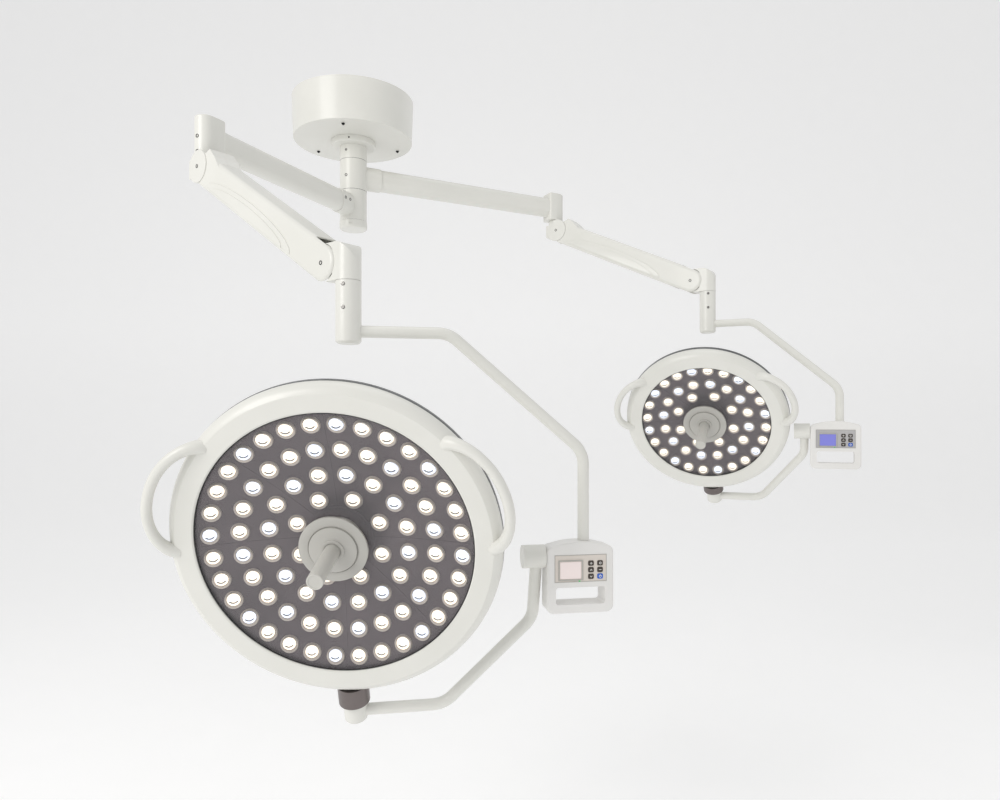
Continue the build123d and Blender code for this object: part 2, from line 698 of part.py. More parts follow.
def make_upper_yoke(lamp):
    """Socket sleeve on the knuckle's spindle and the bent tube down to the control box."""
    path = bent_path(
        [
            (SOCKET_D / 2 - 6.0, 0, -lamp.yoke_tube_drop),
            (lamp.yoke_shoulder, 0, -lamp.yoke_tube_drop),
            (lamp.yoke_reach, 0, -lamp.yoke_bend_drop),
            (lamp.yoke_reach, 0, box_shoulder(lamp) + BOX_ARCH),
        ],
        YOKE_BEND,
    )
    with BuildPart() as yoke:
        with BuildSketch(cross_section(path)):
            Circle(YOKE_TUBE_D / 2)
            Circle(YOKE_TUBE_D / 2 - YOKE_TUBE_WALL, mode=Mode.SUBTRACT)
        sweep(path=path)
        with BuildSketch(level(-lamp.socket_length)):
            Circle(SOCKET_D / 2)
        extrude(amount=lamp.socket_length - SEAM)
        socket_end = yoke.faces().filter_by(Axis.Z).filter_by(
            lambda f: abs(f.center().Z + lamp.socket_length) < SLIP
        )
        chamfer(socket_end.edges(), SOCKET_CHAMFER)
        with BuildSketch(level(-SOCKET_PIN_LENGTH - 1.0)):
            Circle(SOCKET_PIN_D / 2 + RUNNING)
        extrude(amount=SOCKET_PIN_LENGTH + 2.0, mode=Mode.SUBTRACT)
    save(yoke, f"{lamp.name}_upper_yoke", lamp.yoke)


def box_frame(lamp):
    """Plane at the shoulder of the box, above the middle of its face."""
    middle = lamp.yoke_reach + (BOX_RIGHT - BOX_LEFT) / 2
    origin = lamp.yoke.from_local_coords((middle, 0, box_shoulder(lamp)))
    return Plane(origin=origin, x_dir=lamp.yoke.x_dir, z_dir=(0, 0, 1))


BOX_WIDTH = BOX_LEFT + BOX_RIGHT
FACE_MIDDLE_Z = -FACE_BELOW_TOP - FACE_HEIGHT / 2
GRIP_MIDDLE_Z = -BOX_HEIGHT + GRIP_BAR + GRIP_HEIGHT / 2


def make_control_box(lamp):
    """Moulded box with an arched top, a recess for the controls, a grip and the tee pin."""
    with BuildPart() as box:
        with BuildSketch(Plane.XZ):
            with Locations((0, -BOX_HEIGHT / 2)):
                RectangleRounded(BOX_WIDTH, BOX_HEIGHT, BOX_CORNER)
            with BuildLine():
                ThreePointArc(
                    (-BOX_WIDTH / 2 + BOX_CORNER, 0), (0, BOX_ARCH), (BOX_WIDTH / 2 - BOX_CORNER, 0)
                )
                Line((BOX_WIDTH / 2 - BOX_CORNER, 0), (-BOX_WIDTH / 2 + BOX_CORNER, 0))
            make_face()
        extrude(amount=BOX_DEPTH / 2, both=True)
        front = box.faces().sort_by(Axis.Y)[0]
        rear = box.faces().sort_by(Axis.Y)[-1]
        fillet(front.edges() + rear.edges(), 5.0)
        with BuildSketch(Plane.XZ):
            with Locations((0, GRIP_MIDDLE_Z)):
                RectangleRounded(GRIP_WIDTH, GRIP_HEIGHT, GRIP_CORNER)
        extrude(amount=BOX_DEPTH, both=True, mode=Mode.SUBTRACT)
        with BuildSketch(Plane.XZ.offset(BOX_DEPTH / 2 - FACE_T)):
            with Locations((0, FACE_MIDDLE_Z)):
                Rectangle(FACE_WIDTH + 2 * SLIP, FACE_HEIGHT + 2 * SLIP)
        extrude(amount=FACE_T * 2, mode=Mode.SUBTRACT)
        with BuildSketch(Plane.XZ.offset(BOX_DEPTH / 2 - CAVITY_DEPTH)):
            with Locations((0, FACE_MIDDLE_Z)):
                Rectangle(FACE_WIDTH - 2 * CAVITY_RIM, FACE_HEIGHT - 2 * CAVITY_RIM)
        extrude(amount=CAVITY_DEPTH, mode=Mode.SUBTRACT)
        with BuildSketch(end_plane(-BOX_WIDTH / 2 - TEE_PIN_LENGTH)):
            with Locations((0, -BOX_TOP_TO_TEE)):
                Circle(TEE_PIN_D / 2)
        extrude(amount=TEE_PIN_LENGTH + 2.0)
        with BuildSketch(level(BOX_ARCH - 8.0)):
            with Locations(((BOX_LEFT - BOX_RIGHT) / 2, 0)):
                Circle(YOKE_TUBE_D / 2 + 2.0)
        extrude(amount=12.0, mode=Mode.SUBTRACT)
        with BuildSketch(level(BOX_ARCH - 8.0)):
            with Locations(((BOX_LEFT - BOX_RIGHT) / 2, 0)):
                Circle(YOKE_TUBE_D / 2 + 2.0)
        extrude(amount=8.0 - SLIP)
    save(box, f"{lamp.name}_control_box", box_frame(lamp))


def key_places():
    """Centres of the six keys in the face, as (x, z) from the middle of the face."""
    for column in (-0.5, 0.5):
        for row in (1, 0, -1):
            yield (KEYS_CENTRE_X + column * KEY_PITCH_X, row * KEY_PITCH_Z - CONTROLS_DROP)


def make_control_face(lamp):
    """Inset plate with a window for the display and six openings for the keys."""
    with BuildPart() as face:
        with BuildSketch(Plane.XZ.offset(BOX_DEPTH / 2 - FACE_T + SLIP / 2)):
            with Locations((0, FACE_MIDDLE_Z)):
                Rectangle(FACE_WIDTH, FACE_HEIGHT)
            with Locations((DISPLAY_CENTRE_X, FACE_MIDDLE_Z - CONTROLS_DROP)):
                Rectangle(DISPLAY_WIDTH + 2 * SLIP, DISPLAY_HEIGHT + 2 * SLIP, mode=Mode.SUBTRACT)
            with Locations(*[(x, FACE_MIDDLE_Z + z) for x, z in key_places()]):
                RectangleRounded(
                    KEY_WIDTH + 2 * SLIP, KEY_HEIGHT + 2 * SLIP, KEY_CORNER, mode=Mode.SUBTRACT
                )
        extrude(amount=FACE_T - SLIP)
    save(face, f"{lamp.name}_control_face", box_frame(lamp))


def make_display(lamp):
    """Display module with its flange behind the face."""
    with BuildPart() as display:
        with BuildSketch(Plane.XZ.offset(BOX_DEPTH / 2 - DISPLAY_T)):
            with Locations((DISPLAY_CENTRE_X, FACE_MIDDLE_Z - CONTROLS_DROP)):
                RectangleRounded(DISPLAY_WIDTH, DISPLAY_HEIGHT, 2.0)
        extrude(amount=DISPLAY_T + 0.4)
        with BuildSketch(Plane.XZ.offset(BOX_DEPTH / 2 - DISPLAY_T)):
            with Locations((DISPLAY_CENTRE_X, FACE_MIDDLE_Z - CONTROLS_DROP)):
                Rectangle(DISPLAY_WIDTH + 4.0, DISPLAY_HEIGHT + 4.0)
        extrude(amount=DISPLAY_T - FACE_T - SLIP)
    save(display, f"{lamp.name}_display", box_frame(lamp))


def make_keys(lamp):
    """Six push keys, each a cap in the face on a wider foot behind it."""
    for number, (x, z) in enumerate(key_places(), start=1):
        with BuildPart() as key:
            with BuildSketch(Plane.XZ.offset(BOX_DEPTH / 2 - KEY_T)):
                with Locations((x, FACE_MIDDLE_Z + z)):
                    RectangleRounded(KEY_WIDTH, KEY_HEIGHT, KEY_CORNER)
            extrude(amount=KEY_T + KEY_PROUD)
            fillet(key.faces().sort_by(Axis.Y)[0].edges(), 0.8)
            with BuildSketch(Plane.XZ.offset(BOX_DEPTH / 2 - KEY_T)):
                with Locations((x, FACE_MIDDLE_Z + z)):
                    RectangleRounded(KEY_WIDTH + 1.8, KEY_HEIGHT + 1.8, KEY_CORNER)
            extrude(amount=KEY_T - FACE_T - SLIP)
        save(key, f"{lamp.name}_key_{number}", box_frame(lamp))


# ---- Lower yoke -----------------------------------------------------------------------------------
def make_lower_yoke(lamp):
    """Tee sleeve on the box's pin, bent tube and the socket under the lamp."""
    sleeve_right = lamp.yoke_reach - BOX_LEFT - SEAM
    sleeve_left = sleeve_right - TEE_LENGTH
    tube_x = sleeve_left + TEE_TO_TUBE
    path = bent_path(
        [
            (tube_x, 0, -TEE_D / 2 + 4.0),
            (tube_x, 0, -lamp.lower_knee),
            (lamp.lower_shoulder, 0, -lamp.lower_drop),
            (lamp.pivot_offset + PIVOT_SOCKET_D / 2 - 5.0, 0, -lamp.lower_drop),
        ],
        YOKE_BEND,
    )
    socket = Plane(
        origin=(lamp.pivot_offset, 0, -lamp.lower_drop),
        x_dir=(cos(radians(lamp.lamp_lean)), 0, sin(radians(lamp.lamp_lean))),
        z_dir=(-sin(radians(lamp.lamp_lean)), 0, cos(radians(lamp.lamp_lean))),
    )
    with BuildPart() as yoke:
        with BuildSketch(cross_section(path)):
            Circle(LOWER_TUBE_D / 2)
            Circle(LOWER_TUBE_D / 2 - YOKE_TUBE_WALL, mode=Mode.SUBTRACT)
        sweep(path=path)
        with BuildSketch(socket.offset(-PIVOT_SOCKET_BELOW)):
            Circle(PIVOT_SOCKET_D / 2)
        extrude(amount=PIVOT_SOCKET_BELOW + PIVOT_SOCKET_ABOVE)
        fillet(yoke.edges().filter_by(GeomType.CIRCLE).group_by(Axis.Z)[0], 4.0)
        with BuildSketch(socket.offset(PIVOT_SOCKET_ABOVE - PIVOT_PIN_LENGTH - 1.0)):
            Circle(LAMP_PIN_D / 2 + RUNNING)
        extrude(amount=PIVOT_PIN_LENGTH + 5.0, mode=Mode.SUBTRACT)
        with BuildSketch(end_plane(sleeve_left)):
            Circle(TEE_D / 2)
        extrude(amount=TEE_LENGTH)
        with BuildSketch(end_plane(sleeve_right - TEE_PIN_LENGTH - 1.0)):
            Circle(TEE_PIN_D / 2 + RUNNING)
        extrude(amount=TEE_PIN_LENGTH + 5.0, mode=Mode.SUBTRACT)
    save(yoke, f"{lamp.name}_lower_yoke", lamp.gimbal)


# ---- Lamp head, in a frame at its centre: +Z to its top, -Y to the patient ------------------------------
def dish_y(radius, radius_of_dish, lamp):
    """Depth of the dish's front surface at a radius from the lamp's axis."""
    rim = radius_of_dish - sqrt(radius_of_dish**2 - lamp.rings[-1] ** 2)
    here = radius_of_dish - sqrt(radius_of_dish**2 - radius**2)
    return LENS_SEAT_Y + rim - here


def window_radius(lamp):
    """Radius of the clear window inside the bezel."""
    return lamp.lamp_radius - BEZEL_WIDTH


def make_pivot_collar(lamp):
    """Metal collar and pin under the lamp's rim."""
    bottom = -lamp.pivot_to_centre + PIVOT_SOCKET_ABOVE + SEAM
    top = -lamp.lamp_radius + 3.0
    with BuildPart() as collar:
        with BuildSketch(level(bottom)):
            Circle(LAMP_COLLAR_D / 2)
        extrude(amount=top - bottom)
        fillet(collar.edges().group_by(Axis.Z)[0], 3.0)
        with BuildSketch(side_plane()):
            Circle(lamp.lamp_radius + SLIP)
        extrude(amount=LAMP_COLLAR_D, both=True, mode=Mode.SUBTRACT)
        with BuildSketch(level(bottom - PIVOT_PIN_LENGTH)):
            Circle(LAMP_PIN_D / 2)
        extrude(amount=PIVOT_PIN_LENGTH + 2.0)
    save(collar, f"{lamp.name}_pivot_collar", lamp.head)


def make_rear_shell(lamp):
    """Domed back of the lamp with the edge band that the bezel seats on."""
    rim = lamp.lamp_radius
    flat = rim * SHELL_FLAT_SHARE
    band_back = RIM_Y + BAND_T
    with BuildPart() as shell:
        with BuildSketch(Plane.XY):
            with BuildLine():
                Line((0, SHELL_BACK_Y), (flat, SHELL_BACK_Y))
                ThreePointArc(
                    (flat, SHELL_BACK_Y),
                    (flat + (rim - flat) * 0.64, SHELL_BACK_Y * 0.72 + band_back * 0.28),
                    (rim, band_back),
                )
                Line((rim, band_back), (rim, RIM_Y + SLIP))
                Line((rim, RIM_Y + SLIP), (rim - SHELL_WALL, RIM_Y + SLIP))
                Line((rim - SHELL_WALL, RIM_Y + SLIP), (rim - SHELL_WALL, band_back))
                ThreePointArc(
                    (rim - SHELL_WALL, band_back),
                    (
                        flat + (rim - flat) * 0.64 - SHELL_WALL,
                        SHELL_BACK_Y * 0.72 + band_back * 0.28 - SHELL_WALL,
                    ),
                    (flat - SHELL_WALL, SHELL_BACK_Y - SHELL_WALL),
                )
                Line((flat - SHELL_WALL, SHELL_BACK_Y - SHELL_WALL), (0, SHELL_BACK_Y - SHELL_WALL))
                Line((0, SHELL_BACK_Y - SHELL_WALL), (0, SHELL_BACK_Y))
            make_face()
        revolve(axis=Axis.Y)
    save(shell, f"{lamp.name}_rear_shell", lamp.head)


def make_bezel(lamp):
    """Broad front ring that holds the window, with a rounded outer edge."""
    rim = lamp.lamp_radius
    lip = window_radius(lamp)
    with BuildPart() as bezel:
        with BuildSketch(Plane.XY):
            with BuildLine():
                Line((rim, RIM_Y), (rim, RIM_Y - 8.0))
                ThreePointArc((rim, RIM_Y - 8.0), (rim - 6.0, RIM_Y - 22.0), (rim - 20.0, BEZEL_FRONT_Y))
                Line((rim - 20.0, BEZEL_FRONT_Y), (lip + 3.0, BEZEL_FRONT_Y + BEZEL_DISH / 2))
                Line((lip + 3.0, BEZEL_FRONT_Y + BEZEL_DISH / 2), (lip, BEZEL_FRONT_Y + BEZEL_DISH))
                Line((lip, BEZEL_FRONT_Y + BEZEL_DISH), (lip, BEZEL_FRONT_Y + BEZEL_DISH + BEZEL_T))
                Line((lip, BEZEL_FRONT_Y + BEZEL_DISH + BEZEL_T), (rim - 21.0, BEZEL_FRONT_Y + BEZEL_T))
                ThreePointArc(
                    (rim - 21.0, BEZEL_FRONT_Y + BEZEL_T),
                    (rim - 9.0, RIM_Y - 20.0),
                    (rim - BEZEL_T, RIM_Y - 8.0),
                )
                Line((rim - BEZEL_T, RIM_Y - 8.0), (rim - BEZEL_T, RIM_Y))
                Line((rim - BEZEL_T, RIM_Y), (rim, RIM_Y))
            make_face()
        revolve(axis=Axis.Y)
    save(bezel, f"{lamp.name}_bezel", lamp.head)


def make_window(lamp):
    """Clear cover disc with a hole for the central boss."""
    front_y = BEZEL_FRONT_Y + BEZEL_DISH + BEZEL_T + SLIP
    with BuildPart() as window:
        with BuildSketch(Plane.XZ.offset(-front_y)):
            Circle(window_radius(lamp) + WINDOW_LAP)
            Circle(BOSS_D / 2 + SLIP, mode=Mode.SUBTRACT)
        extrude(amount=-WINDOW_T)
    save(window, f"{lamp.name}_window", lamp.head)


def make_reflector(lamp):
    """Concave dish around the boss, a spherical band centred on the working point."""
    outer = window_radius(lamp) + 6.0
    inner = BOSS_D / 2 + SLIP
    focus_y = dish_y(0, FOCUS, lamp) - FOCUS
    mid = (inner + outer) / 2
    with BuildPart() as reflector:
        with BuildSketch(Plane.XY):
            with BuildLine():
                for rear in (0.0, REFLECTOR_T):
                    reach = FOCUS + rear
                    ThreePointArc(
                        (inner, focus_y + sqrt(reach**2 - inner**2)),
                        (mid, focus_y + sqrt(reach**2 - mid**2)),
                        (outer, focus_y + sqrt(reach**2 - outer**2)),
                    )
                for edge in (inner, outer):
                    Line(
                        (edge, focus_y + sqrt(FOCUS**2 - edge**2)),
                        (edge, focus_y + sqrt((FOCUS + REFLECTOR_T) ** 2 - edge**2)),
                    )
            make_face()
        revolve(axis=Axis.Y)
    save(reflector, f"{lamp.name}_reflector", lamp.head)


def lens_planes(lamp):
    """A plane on the dish at each lens, facing the working point."""
    focus = Vector(0, dish_y(0, FOCUS, lamp) - FOCUS, 0)
    for number, radius in enumerate(lamp.rings, start=1):
        for sector in range(8):
            for place in range(number):
                turn = 22.5 + 45.0 * sector + (place - (number - 1) / 2) * 45.0 / number
                seat = Vector(
                    radius * sin(radians(turn)),
                    dish_y(radius, FOCUS, lamp) - SLIP,
                    radius * cos(radians(turn)),
                )
                yield Plane(origin=seat, z_dir=focus - seat)


def make_lenses(lamp):
    """One clear domed lens on each LED."""
    dome_radius = ((LENS_D / 2) ** 2 + LENS_DOME**2) / (2 * LENS_DOME)
    with BuildPart() as lenses:
        with BuildSketch(Plane.XZ):
            with BuildLine():
                Line((0, 0), (LENS_D / 2, 0))
                Line((LENS_D / 2, 0), (LENS_D / 2, LENS_BASE_T))
                RadiusArc((LENS_D / 2, LENS_BASE_T), (0, LENS_BASE_T + LENS_DOME), -dome_radius)
                Line((0, LENS_BASE_T + LENS_DOME), (0, 0))
            make_face()
        lens = revolve(axis=Axis.Z, mode=Mode.PRIVATE)
        for seat in lens_planes(lamp):
            add(seat.from_local_coords(lens))
    save(lenses, f"{lamp.name}_lenses", lamp.head)


def make_side_handles(lamp):
    """Two bowed grips on the rim, a little above the middle, one each side."""
    rim = lamp.lamp_radius
    with BuildPart() as grips:
        for hand in (-1, 1):
            turns = (
                (rim + SLIP, -GRIP_HALF_SPAN),
                (rim + GRIP_BOW * 0.75, -GRIP_HALF_SPAN + GRIP_SHOULDER),
                (rim + GRIP_BOW, 0.0),
                (rim + GRIP_BOW * 0.75, GRIP_HALF_SPAN - GRIP_SHOULDER),
                (rim + SLIP, GRIP_HALF_SPAN),
            )
            points = [
                (
                    hand * reach * cos(radians(GRIP_RISE + turn)),
                    0,
                    reach * sin(radians(GRIP_RISE + turn)),
                )
                for reach, turn in turns
            ]
            path = bent_path(points, GRIP_TUBE_D * 1.4)
            with BuildSketch(cross_section(path)):
                Circle(GRIP_TUBE_D / 2)
            sweep(path=path)
        with BuildSketch(side_plane()):
            Circle(rim + SLIP)
        extrude(amount=GRIP_TUBE_D, both=True, mode=Mode.SUBTRACT)
    save(grips, f"{lamp.name}_side_handles", lamp.head)


def make_centre_boss(lamp):
    """Stepped hub through the window that carries the sterile handle."""
    seat_y = dish_y(BOSS_D / 2, FOCUS, lamp) + REFLECTOR_T
    with BuildPart() as boss:
        with BuildSketch(Plane.XZ.offset(-seat_y)):
            Circle(BOSS_D / 2)
        extrude(amount=seat_y - BOSS_FRONT_Y - BOSS_STEP)
        fillet(boss.faces().sort_by(Axis.Y)[0].edges(), 3.0)
        with BuildSketch(Plane.XZ.offset(-BOSS_FRONT_Y - BOSS_STEP - 1.0)):
            Circle(BOSS_STEP_D / 2)
        extrude(amount=BOSS_STEP + 1.0)
        fillet(boss.faces().sort_by(Axis.Y)[0].edges(), 2.0)
        with BuildSketch(Plane.XZ.offset(-BOSS_FRONT_Y)):
            Circle(HANDLE_D / 2 - HANDLE_WALL - RUNNING)
        extrude(amount=HANDLE_SPIGOT_LENGTH)
        with BuildSketch(Plane.XZ.offset(-SHELL_BACK_Y + SHELL_WALL + SLIP)):
            Circle(BOSS_D / 4)
        extrude(amount=SHELL_BACK_Y - SHELL_WALL - SLIP - seat_y + 1.0)
    save(boss, f"{lamp.name}_centre_boss", lamp.head)


def make_sterile_handle(lamp):
    """Removable grip over the boss's spigot, with a domed tip."""
    front = -BOSS_FRONT_Y + SEAM
    with BuildPart() as handle:
        with BuildSketch(Plane.XZ.offset(front)):
            Circle(HANDLE_D / 2)
        extrude(amount=HANDLE_LENGTH)
        fillet(handle.faces().sort_by(Axis.Y)[0].edges(), HANDLE_D / 2 - 5.0)
        with BuildSketch(Plane.XZ.offset(front)):
            Circle(HANDLE_D / 2 - HANDLE_WALL)
        extrude(amount=HANDLE_SPIGOT_LENGTH + 2.0, mode=Mode.SUBTRACT)
    save(handle, f"{lamp.name}_sterile_handle", lamp.head)


# ---- Build everything -------------------------------------------------------------------------------
if __name__ == "__main__":
    make_column()
    make_canopy()
    make_canopy_collar()
    make_bushes()
    make_end_cap()
    make_mount_screws()
    for lamp in (large, small):
        make_hub(lamp)
        make_extension_arm(lamp)
        make_elbow(lamp)
        make_spring_root(lamp)
        make_arm_cover(lamp)
        make_levelling_rod(lamp)
        make_knuckle(lamp)
        make_upper_yoke(lamp)
        make_control_box(lamp)
        make_control_face(lamp)
        make_display(lamp)
        make_keys(lamp)
        make_lower_yoke(lamp)
        make_pivot_collar(lamp)
        make_rear_shell(lamp)
        make_bezel(lamp)
        make_window(lamp)
        make_reflector(lamp)
        make_lenses(lamp)
        make_side_handles(lamp)
        make_centre_boss(lamp)
        make_sterile_handle(lamp)
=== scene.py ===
# %% [markdown]
# # A ceiling-mounted surgical light with a large and a small head
# The metalwork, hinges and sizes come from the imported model, which loads here as a fixed frame.
# This lesson gives that frame its finishes, and adds the parts that are too fine for it: lit
# LEDs, grips, screws, key marks and trims. Units are metres, +Z is up, and the user stands on the
# -Y side.

import json
from math import cos, radians, sin, sqrt

import bpy
from mathutils import Matrix, Vector


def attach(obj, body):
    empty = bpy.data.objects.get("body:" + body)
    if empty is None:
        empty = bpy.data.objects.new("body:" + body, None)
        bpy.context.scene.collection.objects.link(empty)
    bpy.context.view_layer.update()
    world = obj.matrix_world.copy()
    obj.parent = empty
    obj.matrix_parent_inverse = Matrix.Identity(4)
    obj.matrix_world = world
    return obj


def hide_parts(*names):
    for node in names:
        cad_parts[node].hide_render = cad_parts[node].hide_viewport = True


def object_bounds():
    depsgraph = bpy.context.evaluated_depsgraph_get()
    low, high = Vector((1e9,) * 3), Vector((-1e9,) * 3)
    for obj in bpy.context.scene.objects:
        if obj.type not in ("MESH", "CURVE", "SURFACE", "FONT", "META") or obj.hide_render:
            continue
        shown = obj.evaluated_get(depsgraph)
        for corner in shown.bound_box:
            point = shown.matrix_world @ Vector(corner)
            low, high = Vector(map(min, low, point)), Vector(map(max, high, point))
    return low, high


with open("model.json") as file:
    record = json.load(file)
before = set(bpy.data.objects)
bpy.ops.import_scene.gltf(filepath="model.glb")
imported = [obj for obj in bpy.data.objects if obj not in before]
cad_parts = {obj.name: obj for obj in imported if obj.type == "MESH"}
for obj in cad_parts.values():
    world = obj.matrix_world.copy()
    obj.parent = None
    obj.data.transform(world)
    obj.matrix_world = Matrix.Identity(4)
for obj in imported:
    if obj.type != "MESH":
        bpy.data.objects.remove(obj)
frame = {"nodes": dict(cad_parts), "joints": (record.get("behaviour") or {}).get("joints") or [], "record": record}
cad_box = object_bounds()
nodes = frame["nodes"]
joints = {joint["name"]: joint for joint in frame["joints"]}
print("frame box", [[round(v, 3) for v in corner] for corner in cad_box])

# %% [markdown]
# ## Camera
# A level wide-angle camera stands at chest height below the ceiling. It is placed before anything
# else, so that each new piece can be looked at while it is made. A level camera keeps the column
# and the yokes upright, and a small shift moves the picture instead of tilting the camera.

# %% Camera
camera_data = bpy.data.cameras.new("camera")
camera_data.lens = 26.0
camera_data.sensor_width = 36.0
camera_data.shift_y = 0.02
camera = bpy.data.objects.new("camera", camera_data)
bpy.context.scene.collection.objects.link(camera)
camera.location = (0.515, -2.537, -1.116)
camera.rotation_euler = (radians(90), 0, 0)
bpy.context.scene.camera = camera
print("camera at", tuple(camera.location))

# %% [markdown]
# ## Helpers for modelling by hand
# Each operator acts on whatever is selected, so a piece is always picked alone first. Faces are
# selected in code by their place or their normal, and then extruded, inset or bevelled. A piece
# is modelled about its own centre, and settle() moves it to its seat, writes that place into its
# mesh, smooths it, gives it its finish and lets it ride on its body.


# %% Picking, shaping and settling
def pick(piece):
    """Selects one piece and nothing else."""
    if bpy.context.object and bpy.context.object.mode != "OBJECT":
        bpy.ops.object.mode_set(mode="OBJECT")
    bpy.ops.object.select_all(action="DESELECT")
    piece.select_set(True)
    bpy.context.view_layer.objects.active = piece


def select_faces(piece, wanted):
    """Opens a piece in edit mode with only the wanted faces selected."""
    pick(piece)
    bpy.ops.object.mode_set(mode="EDIT")
    bpy.ops.mesh.select_mode(type="FACE")
    bpy.ops.mesh.select_all(action="DESELECT")
    bpy.ops.object.mode_set(mode="OBJECT")
    for face in piece.data.polygons:
        face.select = wanted(face)
    bpy.ops.object.mode_set(mode="EDIT")


def facing_up(face):
    """Whether a face looks along the piece's own +Z."""
    return face.normal.z > 0.9


def raise_faces(height):
    """Extrudes the selected faces along +Z, or sinks them if the height is negative."""
    bpy.ops.mesh.extrude_region_move(TRANSFORM_OT_translate={"value": (0, 0, height)})


def done():
    """Closes edit mode and returns the piece."""
    bpy.ops.object.mode_set(mode="OBJECT")
    return bpy.context.view_layer.objects.active


def shift(piece, x=0.0, y=0.0, z=0.0):
    """Moves every point of a piece in its own mesh."""
    for point in piece.data.vertices:
        point.co += Vector((x, y, z))
    return piece


def round_edges(piece, width, segments=2, angle=40):
    """Rounds every edge sharper than the angle."""
    pick(piece)
    bevel = piece.modifiers.new("round", "BEVEL")
    bevel.width = width
    bevel.segments = segments
    bevel.limit_method = "ANGLE"
    bevel.angle_limit = radians(angle)
    bpy.ops.object.modifier_apply(modifier=bevel.name)
    return piece


def facing(point, direction):
    """A seat at a point whose Z axis runs along a direction."""
    turn = Vector(direction).to_track_quat("Z", "Y")
    return Matrix.Translation(Vector(point)) @ turn.to_matrix().to_4x4()


def join(pieces):
    """Joins pieces into the first one."""
    pick(pieces[0])
    for piece in pieces[1:]:
        piece.select_set(True)
    if len(pieces) > 1:
        bpy.ops.object.join()
    return pieces[0]


def stamp(master, seats):
    """Copies a master piece to every seat, each copy with its own mesh, and joins the copies."""
    copies = []
    for seat in seats:
        copy = master.copy()
        copy.data = master.data.copy()
        bpy.context.scene.collection.objects.link(copy)
        copy.matrix_world = seat
        copies.append(copy)
    return join(copies)


def settle(piece, name, body, finish, place=None, smooth=35):
    """Puts a finished piece in its place in the frame and hands it to its body."""
    if place is not None:
        bpy.context.view_layer.update()
        piece.matrix_world = place @ piece.matrix_world
    pick(piece)
    bpy.ops.object.transform_apply(location=True, rotation=True, scale=True)
    bpy.ops.object.shade_smooth_by_angle(angle=radians(smooth))
    piece.name = name
    piece.data.name = name
    piece.data.materials.clear()
    piece.data.materials.append(finish)
    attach(piece, body)
    print(name, len(piece.data.polygons), "faces on", body)
    return piece


# %% [markdown]
# ## Seats on the object
# Fine pieces are placed in the frame of the part that carries them. A joint's axis gives one
# direction and the part's own extent gives the origin. A few sizes that neither of them gives,
# such as the arm's length, the tube radii and the LED rings, are named again here, and follow the
# model by hand if it changes.


# %% Frames of the lamp heads and of the control boxes
def frame_of(right, back, up, origin):
    """A 4x4 frame from three directions and an origin."""
    matrix = Matrix((right, back, up)).transposed().to_4x4()
    matrix.translation = origin
    return matrix


def extents(node, place):
    """Lowest and highest corner of a node, measured in a turned frame."""
    inverse = place.inverted()
    corners = [inverse @ v.co for v in nodes[node].data.vertices]
    low = Vector([min(c[i] for c in corners) for i in range(3)])
    high = Vector([max(c[i] for c in corners) for i in range(3)])
    return low, high


BEZEL_FRONT = -0.042


def head_frame(lamp):
    """Frame on a lamp head's axis: X right, Y to the back, Z up the head."""
    front = Vector(joints[f"{lamp}_handle_pull"]["axis"]).normalized()
    up = Vector(joints[f"{lamp}_head_turn"]["axis"])
    up = (up - up.dot(front) * front).normalized()
    back = -front
    place = frame_of(back.cross(up), back, up, Vector())
    low, high = extents(f"{lamp}_bezel", place)
    centre = (low + high) / 2
    centre.y = low.y - BEZEL_FRONT
    place.translation = place.to_3x3() @ centre
    return place


def box_frame(lamp):
    """Frame on the front of a control face: X right, Y to the back, Z up."""
    right = Vector(joints[f"{lamp}_head_roll"]["axis"]).normalized()
    up = Vector((0, 0, 1))
    place = frame_of(right, up.cross(right), up, Vector())
    low, high = extents(f"{lamp}_control_face", place)
    centre = (low + high) / 2
    centre.y = low.y
    place.translation = place.to_3x3() @ centre
    return place


LAMPS = ("large", "small")
head = {lamp: head_frame(lamp) for lamp in LAMPS}
panel = {lamp: box_frame(lamp) for lamp in LAMPS}
for lamp in LAMPS:
    print(lamp, "head centre", [round(v, 4) for v in head[lamp].translation])

# %% [markdown]
# ## Finishes
# Powder coat, moulded plastic and metal all show a little grain when a light runs over them. Each
# finish mixes two close tones with a soft noise, and a fine noise drives a slight bump. Both read
# Object coordinates, so the grain keeps one real size on large and small parts. Anything that is
# the same all over the surface is set on the shader itself.


